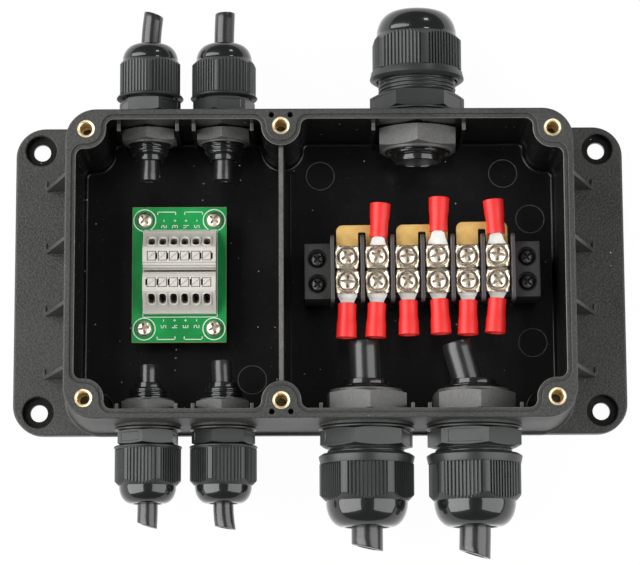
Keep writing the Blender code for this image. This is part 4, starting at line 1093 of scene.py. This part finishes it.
# Board. The strokes of each sign stand in a cell 1 wide and 2 high.
STROKES = {
    "2": ((0, 2, 1, 2), (1, 2, 1, 1), (1, 1, 0, 1), (0, 1, 0, 0), (0, 0, 1, 0)),
    "3": ((0, 2, 1, 2), (1, 2, 1, 0), (0.2, 1, 1, 1), (1, 0, 0, 0)),
    "4": ((0, 2, 0, 1), (0, 1, 1, 1), (1, 2, 1, 0)),
    "5": ((1, 2, 0, 2), (0, 2, 0, 1), (0, 1, 1, 1), (1, 1, 1, 0), (1, 0, 0, 0)),
    "+": ((0, 1, 1, 1), (0.5, 0.5, 0.5, 1.5)),
    "-": ((0.1, 1, 0.9, 1),),
}


def add_stroke(mesh, start, end, width):
    start = Vector(start)
    end = Vector(end)
    along = (end - start).normalized() * width / 2
    across = Vector((-along.y, along.x))
    corners = [start - along - across, end + along - across, end + along + across, start - along + across]
    add_prism(mesh, counterclockwise([(c.x, c.y) for c in corners]), *INK)


def add_sign(mesh, sign, centre, size, turn):
    for x0, y0, x1, y1 in STROKES[sign]:
        points = []
        for x, y in ((x0, y0), (x1, y1)):
            spot = Vector(((x - 0.5) * size / 2, (y - 1) * size / 2))
            spot.rotate(Matrix.Rotation(turn, 2))
            points.append(spot + Vector(centre))
        add_stroke(mesh, *points, 0.26)


def add_frame(mesh):
    """The printed line round the two terminals."""
    half = TERMINAL_LENGTH / 2 + 0.25
    corners = rectangle(TERMINAL[0] - half, INK_FRAME_Y[0], TERMINAL[0] + half, INK_FRAME_Y[1])
    for start, end in zip(corners, corners[1:] + corners[:1]):
        add_stroke(mesh, start, end, 0.25)


def build_board():
    half_x, half_y = (size / 2 for size in BOARD_SIZE)
    mesh = bmesh.new()
    outline = rectangle(BOARD[0] - half_x, BOARD[1] - half_y, BOARD[0] + half_x, BOARD[1] + half_y)
    add_block(mesh, outline, BOARD_BOTTOM, BOARD_TOP, 0.12, steps=1)
    holes = bmesh.new()
    for spot in board_holes():
        add_prism(holes, circle(spot, BOARD_HOLE_RADIUS, 40), BOARD_BOTTOM - 1, BOARD_TOP + 1)
    data = cut_mesh(mesh_data(mesh, "circuit_board", "board laminate"), holes)
    for face in data.polygons:
        face.material_index = 0 if abs(face.normal.z) > 0.9 else 1
    keep_flat(show("board", sharpen(data), node="circuit_board"))

    ink = bmesh.new()
    low, high = INK
    for spot in board_holes():
        add_turned(ink, [(4.25, low), (4.6, low), (4.6, high), (4.25, high)], 64, loop=True, centre=spot)
    for side, y_sign, y_digit in ((1, 22.4, 20.0), (-1, -18.3, -20.8)):
        for pole, sign in zip((2, 3, 4, 5), "-++-"):
            x = TERMINAL[0] + (pole - 3.5) * PITCH
            digit = str(pole if side > 0 else POLES + 1 - pole)
            add_sign(ink, digit, (x, y_digit), 1.9, side * pi / 2)
            add_sign(ink, sign, (x, y_sign), 1.5, side * pi / 2)
        y = side * 26.0
        for x in (-61.8, -50.9):
            add_stroke(ink, (x - 3.6, y), (x + 3.6, y), 0.3)
            for end in (x - 3.6, x + 3.6):
                add_stroke(ink, (end, y), (end, y - side), 0.3)
    add_frame(ink)
    show("board_ink", mesh_data(ink, "board_ink", "ink"))

    cutter = cross_cutter(2.15, 0.95, 1.5, 2.25)
    screw = pan_head("board_screw", 3.25, 2.3, 1.4, 8, cutter, "nickel recess")
    for number, (spot, turn) in enumerate(zip(board_holes(), (0.75, 0.2, 0.9, 0.35)), 1):
        node = f"board_screw_{number}"
        place = at(*spot, BOARD_TOP + GAP * 0.2, turn)
        show(node + "_piece", screw, place=place, node=node)


# Terminals
def slope_height(y):
    return SLOPE_START[1] - (y - SLOPE_START[0]) * tan(SLOPE_FALL)


def squared(share):
    """Pulls a circle's sine or cosine out towards a square."""
    return copysign(abs(share) ** 0.72, share)


def add_entries(mesh, shape):
    """A tilted loft at each wire entry. The shape's rows are half width, half length, shift and height."""
    for pole in range(POLES):
        levels = []
        for half_x, half_y, shift, z in shape:
            oval = [(half_x * squared(x), shift + half_y * squared(y)) for x, y in circle((0, 0), 1, 32)]
            levels.append((oval, z))
        part = bmesh.new()
        add_loft(part, levels)
        place = at((pole - 2.5) * PITCH, ENTRY_Y, slope_height(ENTRY_Y), -SLOPE_FALL, "X")
        take_in(mesh, part, place)


def terminal_data():
    """Local +Y runs from the back of the housing to its wire side, z = 0 is the board's top."""
    side = [(0.0, 0.3), (16.6, 0.3), (16.6, 1.9), (16.2, 2.3), (15.4, 2.6), SLOPE_START, (8.4, 9.9)]
    side += [(7.8, 10.0), (2.7, 10.0), (2.45, 9.9), (2.4, 9.1), (1.4, 8.9), (1.25, 7.9), (0.6, 7.6)]
    side += [(0.45, 5.6), (0.0, 5.4)]
    mesh = bmesh.new()
    add_block(mesh, side, -TERMINAL_LENGTH / 2, TERMINAL_LENGTH / 2, 0.12, ALONG_X, 1)
    data = mesh_data(mesh, "terminal", "grey clamp")

    hoods = bmesh.new()
    add_entries(hoods, ((2.0, 3.25, 0.25, -1.0), (2.0, 3.25, 0.25, 0.25), (1.85, 3.1, 0.25, 0.42)))
    entry = ((0.85, 1.3, 2.3, -4.8), (1.25, 2.5, -0.05, -0.9), (1.3, 2.65, -0.05, -0.1))
    entry += ((1.52, 2.9, 0.05, 0.35), (1.7, 3.05, 0.05, 0.6), (1.7, 3.05, 0.05, 2.0))
    cuts = bmesh.new()
    add_entries(cuts, entry)
    for pole in range(POLES):
        x = (pole - 2.5) * PITCH
        well = rectangle(x - WELL[0] / 2, WELL_NEAR, x + WELL[0] / 2, WELL_NEAR + WELL[1])
        add_prism(cuts, well, 3, 11)
        add_prism(cuts, rectangle(x + 1.65, 3.7, x + 2.35, 6.2), 5, 11)
    data = cut_mesh(cut_mesh(data, hoods, "UNION"), cuts)
    for face in data.polygons:
        x, y, z = face.center / MM
        nearest = (round(x / PITCH - 0.5) + 0.5) * PITCH
        deep = (y - ENTRY_Y) * sin(SLOPE_FALL) + (z - slope_height(ENTRY_Y)) * cos(SLOPE_FALL)
        in_entry = abs(x - nearest) < 1.35 and 8.5 < y < 13.5 and z > 1.2
        # painted shade: faces deep in the wire entries take the dark clamp finish
        face.material_index = 1 if in_entry and deep < -0.13 else 0

    lines = bmesh.new()
    for pole in range(POLES + 1):
        x = (pole - 3) * PITCH
        slope = bmesh.new()
        add_prism(slope, rectangle(x - 0.09, -0.5, x + 0.09, 9), -0.14, 0.5)
        take_in(lines, slope, at(0, *SLOPE_START, -SLOPE_FALL, "X"))
    return sharpen(cut_mesh(data, lines), 28)


def button_data():
    """Local z = 0 is the top face at rest, with a slanting slot across it."""
    half_x = WELL[0] / 2 - 0.28
    half_y = WELL[1] / 2 - 0.2
    mesh = bmesh.new()
    add_block(mesh, rectangle(-half_x, -half_y, half_x, half_y), -5.2, 0, 0.22)
    slot = bmesh.new()
    turn = Matrix.Rotation(radians(42), 4, "Z")
    add_block(slot, rectangle(-1.75, -0.2, 1.75, 0.2), -0.35, 1, 0.05, turn, 1)
    return sharpen(cut_mesh(mesh_data(mesh, "button", "grey"), slot), 30)


def build_terminals():
    housing = terminal_data()
    button = button_data()
    for name, side in (("upper", 1), ("lower", -1)):
        turn = 0 if side > 0 else pi
        node = name + "_terminal"
        place = at(TERMINAL[0], TERMINAL[1] + side * TERMINAL_BACK, BOARD_TOP, turn)
        keep_flat(show(node + "_housing", housing, place=place, node=node))
        for pole in range(1, POLES + 1):
            x = TERMINAL[0] + (pole - 3.5) * PITCH
            y = TERMINAL[1] + side * (TERMINAL_BACK + WELL_NEAR + WELL[1] / 2)
            node = f"{name}_release_button_{pole}"
            place = at(x, y, BOARD_TOP + BUTTON_TOP, turn)
            keep_flat(show(f"{name}_key_{pole}", button, node, place, node))


# Barrier strip
def pole_x(pole):
    return (pole - 3.5) * POLE_PITCH


def fork_bottom(row):
    return BAR_TOP + GAP + (SHEET + GAP if row > 0 else 0)


def stack_top(pole, row):
    has_fork = any((pole, row) == fork[:2] for fork in FORKS)
    return fork_bottom(row) + (SHEET + GAP if has_fork else 0)


def barrier_outline():
    """The barrier seen along X, with rounded upper corners."""
    half = BARRIER[1] / 2
    low = STRIP_BOTTOM + 4
    corner = 2.2
    outline = [(0.6 - half, low), (half - 0.6, low)]
    outline += arc((half - corner, BARRIER[2] - corner), corner, 0, pi / 2, 6)
    return outline + arc((corner - half, BARRIER[2] - corner), corner, pi / 2, pi, 6)


def build_moulding():
    half = STRIP_SIZE[0] / 2
    side = STRIP_SIZE[1] / 2
    reach = POLES / 2 * POLE_PITCH
    mesh = bmesh.new()
    add_block(mesh, rectangle(-half, -side, half, side), STRIP_BOTTOM, POLE_FLOOR, 0.3)
    ends = bmesh.new()
    recesses = bmesh.new()
    rows = [(0, END_RECESS_FLOOR), (3.6, END_RECESS_FLOOR), (3.75, 23.7), (3.75, 25.7)]
    rows += [(4.05, 26.0), (4.05, 27), (0, 27)]
    for sign in (1, -1):
        add_block(ends, rectangle(sign * reach, -side, sign * half, side), POLE_FLOOR - 2, END_BLOCK_TOP, 0.3)
        lug = rectangle(sign * (half - 3), -4, sign * half, 4)
        add_block(ends, lug, STRIP_BOTTOM, STRIP_BOTTOM + 6, 0.3)
        for row in (1, -1):
            spot = (sign * (half - END_BLOCK / 2), row * ROW_OFFSET)
            add_turned(recesses, rows, 44, centre=spot)
        for row in (1, -1):
            notch = rectangle(sign * (half - 6.6), row * 9.9, sign * (half - 4.0), row * 10.6)
            add_prism(recesses, counterclockwise(notch), 25.75, 27)
    data = cut_mesh(mesh_data(mesh, "strip_moulding", "phenolic barrier"), ends, "UNION")
    data = sharpen(cut_mesh(data, recesses))
    show("strip_moulding", data, place=STRIP_PLACE, node="barrier_strip")
    walls = bmesh.new()
    for number in range(POLES + 1):
        place = at(number * POLE_PITCH - reach, 0) @ ALONG_X
        add_block(walls, barrier_outline(), -BARRIER[0] / 2, BARRIER[0] / 2, 0.35, place)
    data = mesh_data(walls, "barriers", "barrier")
    keep_flat(show("strip_barriers", data, place=STRIP_PLACE))


def washer_data():
    """A square clamp washer, hollowed under the screw's head, with raised sides."""
    cells = 22
    half = WASHER / 2
    mesh = bmesh.new()

    def level(x, y):
        edge = max(abs(x), abs(y) * 0.2) / half
        side = max(0.0, (edge - 0.72) / 0.28)
        lift = 0.26 * sin(min(1.0, side) * pi * 0.62)
        groove = 0.3 * exp(-(((hypot(x, y) - 4.15) / 0.38) ** 2))
        end = max(0.0, (abs(y) / half - 0.86) / 0.14)
        return 1.0 + lift - groove - 0.25 * end**2

    steps = [(2 * i / cells - 1) * half for i in range(cells + 1)]
    tops = []
    for x in steps:
        row = []
        for y in steps:
            pull = 1 - 0.035 * (abs(x) / half) ** 6 * (abs(y) / half) ** 6
            row.append(vertex(mesh, x * pull, y * pull, level(x, y)))
        tops.append(row)
    for i in range(cells):
        for j in range(cells):
            mesh.faces.new((tops[i][j], tops[i + 1][j], tops[i + 1][j + 1], tops[i][j + 1]))
    ring = [tops[i][0] for i in range(cells)] + [tops[cells][j] for j in range(cells)]
    ring += [tops[i][cells] for i in range(cells, 0, -1)] + [tops[0][j] for j in range(cells, 0, -1)]
    rings = [ring]
    for share, z in ((1.0, 0.08), (0.97, 0.0)):
        rings.append([mesh.verts.new((v.co.x * share, v.co.y * share, z * MM)) for v in ring])
    for upper, lower in zip(rings, rings[1:]):
        for i in range(len(ring)):
            j = (i + 1) % len(ring)
            mesh.faces.new((upper[i], lower[i], lower[j], upper[j]))
    mesh.faces.new(rings[-1][::-1])
    return mesh_data(mesh, "clamp_washer", "washer", 50)


def build_clamps():
    cutter = cross_cutter(2.6, 1.1, 1.7, 2.35, (4.2, 0.8, 0.7))
    screw = pan_head("clamp_screw", 3.8, 2.4, 1.7, 3.5, cutter, "nickel recess")
    washer = washer_data()
    turns = random.Random(7)
    for row, word in ((1, "top"), (-1, "bottom")):
        for pole in range(1, POLES + 1):
            x = pole_x(pole) + turns.uniform(-0.1, 0.1)
            seat = STRIP_PLACE @ at(x, row * ROW_OFFSET, stack_top(pole, row))
            skew = radians(turns.uniform(-2.0, 2.0)) + (0 if row > 0 else pi)
            show(f"clamp_washer_{word}_{pole}", washer, place=seat @ at(0, 0, 0, skew))
            place = seat @ at(0, 0, 0.95, turns.uniform(0, pi))
            show(f"clamp_screw_{word}_{pole}", screw, place=place)

    bars = bmesh.new()
    for pole in range(1, POLES + 1):
        x = pole_x(pole)
        add_block(bars, rectangle(x - 4.0, -9.5, x + 4.0, 9.5), POLE_FLOOR - 0.5, BAR_TOP, 0.2)
    show("contact_bars", mesh_data(bars, "contact_bars", "nickel"), place=STRIP_PLACE)

    cutter = cross_cutter(1.9, 0.8, 1.5, 2.0)
    # the rubber finish paints the shade in the fixing screws' cross recesses
    fixing = pan_head("fixing_screw", 3.05, 2.05, 1.6, 4, cutter, "oxide rubber")
    for number, spot in enumerate(four((END_BLOCK - STRIP_SIZE[0]) / 2, ROW_OFFSET), 1):
        place = STRIP_PLACE @ at(*spot, END_RECESS_FLOOR + 0.1, turns.uniform(0.5, 1.0))
        show(f"fixing_screw_{number}", fixing, place=place)


def slot_outline(x, toe):
    return [(x + SLOT, toe)] + arc((x, ROW_OFFSET), SLOT, 0, pi, 12) + [(x - SLOT, toe)]


def build_jumpers():
    leg = 4.3
    right = POLE_PITCH + leg
    middle = POLE_PITCH / 2
    toe = ROW_OFFSET - TOE
    notch = 1.5
    for number, (first, lift) in enumerate(JUMPERS, 1):
        top = 18.25 + lift
        corner = top - 3.5
        outline = [(right, toe)] + slot_outline(POLE_PITCH, toe) + [(middle + notch, toe)]
        outline += arc((middle + notch - 0.5, corner), 0.5, 0, pi / 2, 3)
        outline += arc((middle - notch + 0.5, corner), 0.5, pi / 2, pi, 3)
        outline += [(middle - notch, toe)] + slot_outline(0, toe) + [(-leg, toe)]
        outline += arc((2.6 - leg, top - 2.6), 2.6, pi, pi / 2, 10)
        outline += arc((right - 2.6, top - 2.6), 2.6, pi / 2, 0, 10)
        mesh = bmesh.new()
        add_block(mesh, outline, BAR_TOP + GAP, BAR_TOP + GAP + SHEET, 0.1, steps=1)
        node = f"jumper_{number}"
        data = mesh_data(mesh, node, "brass")
        place = STRIP_PLACE @ at(pole_x(first), 0)
        keep_flat(show(f"bridge_{number}", data, place=place, node=node))


def tongue_data():
    """The tinned fork with its bent neck, the screw at the origin and the sleeve towards +Y."""
    half = 4.0
    outline = [(-half, -TOE), (-SLOT, -TOE)] + arc((0, 1), SLOT, pi, 0, 12)
    outline += [(SLOT, -TOE), (half, -TOE), (half, 4.0), (2.3, 5.6), (2.3, 6.2)]
    outline += [(-2.3, 6.2), (-2.3, 5.6), (-half, 4.0)]
    mesh = bmesh.new()
    add_block(mesh, outline, -SHEET / 2, SHEET / 2, 0.1, steps=1)
    levels = []
    bend = ((3.6, -0.4, 3.95), (4.8, -0.38, 3.8), (5.8, -0.1, 3.25), (7.0, 0.4, 2.75), (8.6, 1.0, 2.4))
    for y, low, wide in bend:
        levels.append((rectangle(-wide, low, wide, low + 0.85), y))
    levels.append((rectangle(-2.3, 1.2, 2.3, 2.0), 10.5))
    neck = bmesh.new()
    add_loft(neck, levels)
    take_in(mesh, neck, ALONG_Y)
    return mesh_data(mesh, "fork_tongue", "tin")


def sleeve_data():
    """The vinyl sleeve, with a crimp step halfway, and the tinned barrel inside its bell."""
    start, step, end = 8.1, 15.3, 21.9
    rows = [(2.2, start + 0.6), (3.0, start + 0.05), (3.4, start), (3.62, start + 0.12), (3.68, start + 0.5)]
    rows += [(3.6, start + 3), (3.62, step - 0.9), (3.78, step), (3.95, step + 1.4), (4.02, end - 2)]
    rows += [(4.13, end - 0.35), (4.08, end - 0.08), (3.9, end), (3.35, end), (3.2, end - 0.15)]
    rows += [(3.05, end - 3), (2.6, end - 6.5), (2.2, end - 8)]
    mesh = bmesh.new()
    add_turned(mesh, rows, 44, loop=True)
    rise = at(0, 0, SLEEVE_RISE, -pi / 2, "X")
    mesh.transform(rise)
    first = len(mesh.faces)
    barrel = bmesh.new()
    rows = [(1.5, 9.0), (2.4, 9.0), (2.4, 15.2), (2.2, 15.4), (1.7, 15.4), (1.5, 15.2)]
    add_turned(barrel, rows, 28, loop=True)
    take_in(mesh, barrel, rise)
    mesh.faces.ensure_lookup_table()
    for face in mesh.faces[first:]:
        face.material_index = 1
    return mesh_data(mesh, "fork_sleeve", "vinyl tin", 40)


def build_forks():
    tongue = tongue_data()
    sleeve = sleeve_data()
    for pole, row, lean, out in FORKS:
        turn = -radians(lean) if row > 0 else pi + radians(lean)
        x = pole_x(pole) - sin(turn) * out
        y = row * ROW_OFFSET + cos(turn) * out
        place = STRIP_PLACE @ at(x, y, fork_bottom(row) + SHEET / 2, turn)
        label = f"{'top' if row > 0 else 'bottom'}_{pole}"
        show("fork_sleeve_" + label, sleeve, place=place, node="fork_terminal_" + label)
        keep_flat(show("fork_tongue_" + label, tongue, place=place))


# Floor and light, in metres
def build_floor():
    mesh = bmesh.new()
    mesh.faces.new([mesh.verts.new((x, y, -GAP * MM)) for x, y in rectangle(-4, -4, 4, 4)])
    data = bpy.data.meshes.new("floor")
    mesh.to_mesh(data)
    mesh.free()
    made, tree, shader = new_material("floor", (0.85, 0.85, 0.85), 0.9, Specular_IOR_Level=0.0)
    path = tree.nodes.new("ShaderNodeLightPath")
    seen = calculate(tree, "MAXIMUM", path.outputs["Is Camera Ray"], path.outputs["Is Glossy Ray"])
    seen = calculate(tree, "MAXIMUM", seen, path.outputs["Is Transmission Ray"])
    glow = tree.nodes.new("ShaderNodeEmission")
    glow.inputs["Strength"].default_value = 1.0
    mix = tree.nodes.new("ShaderNodeMixShader")
    tree.links.new(calculate(tree, "MULTIPLY", seen, 0.97), mix.inputs[0])
    tree.links.new(shader.outputs[0], mix.inputs[1])
    tree.links.new(glow.outputs[0], mix.inputs[2])
    tree.links.new(mix.outputs[0], tree.nodes["Material Output"].inputs["Surface"])
    data.materials.append(made)
    link("floor", data)


def add_softbox(name, spot, size, radiance):
    data = bpy.data.lights.new(name, "AREA")
    data.shape = "RECTANGLE"
    data.size, data.size_y = size
    data.energy = radiance * pi * size[0] * size[1]
    light = link(name, data)
    aim = (Vector((0, spot[1], 0.02)) - Vector(spot)).to_track_quat("-Z", "Y")
    light.matrix_world = Matrix.Translation(spot) @ aim.to_matrix().to_4x4()
    light.visible_camera = False


def add_light():
    add_softbox("front_left", (-0.76, -0.42, 0.62), (0.68, 1.3), 4.5)
    add_softbox("back_left", (-0.74, 0.3, 0.6), (0.72, 1.1), 4.3)
    add_softbox("front_right", (0.76, -0.22, 0.62), (1.05, 1.2), 2.9)
    add_softbox("back_right", (0.5, 0.95, 0.75), (0.22, 0.22), 9.0)
    world = bpy.data.worlds.new("room")
    world.use_nodes = True
    back = world.node_tree.nodes["Background"]
    back.inputs["Color"].default_value = (0.8, 0.82, 0.85, 1)
    back.inputs["Strength"].default_value = 0.2
    bpy.context.scene.world = world
    bpy.context.scene.view_settings.view_transform = "Standard"


add_camera()
build_cables()
build_glands()
build_enclosure()
build_inserts()
build_board()
build_terminals()
build_moulding()
build_clamps()
build_jumpers()
build_forks()
build_floor()
add_light()
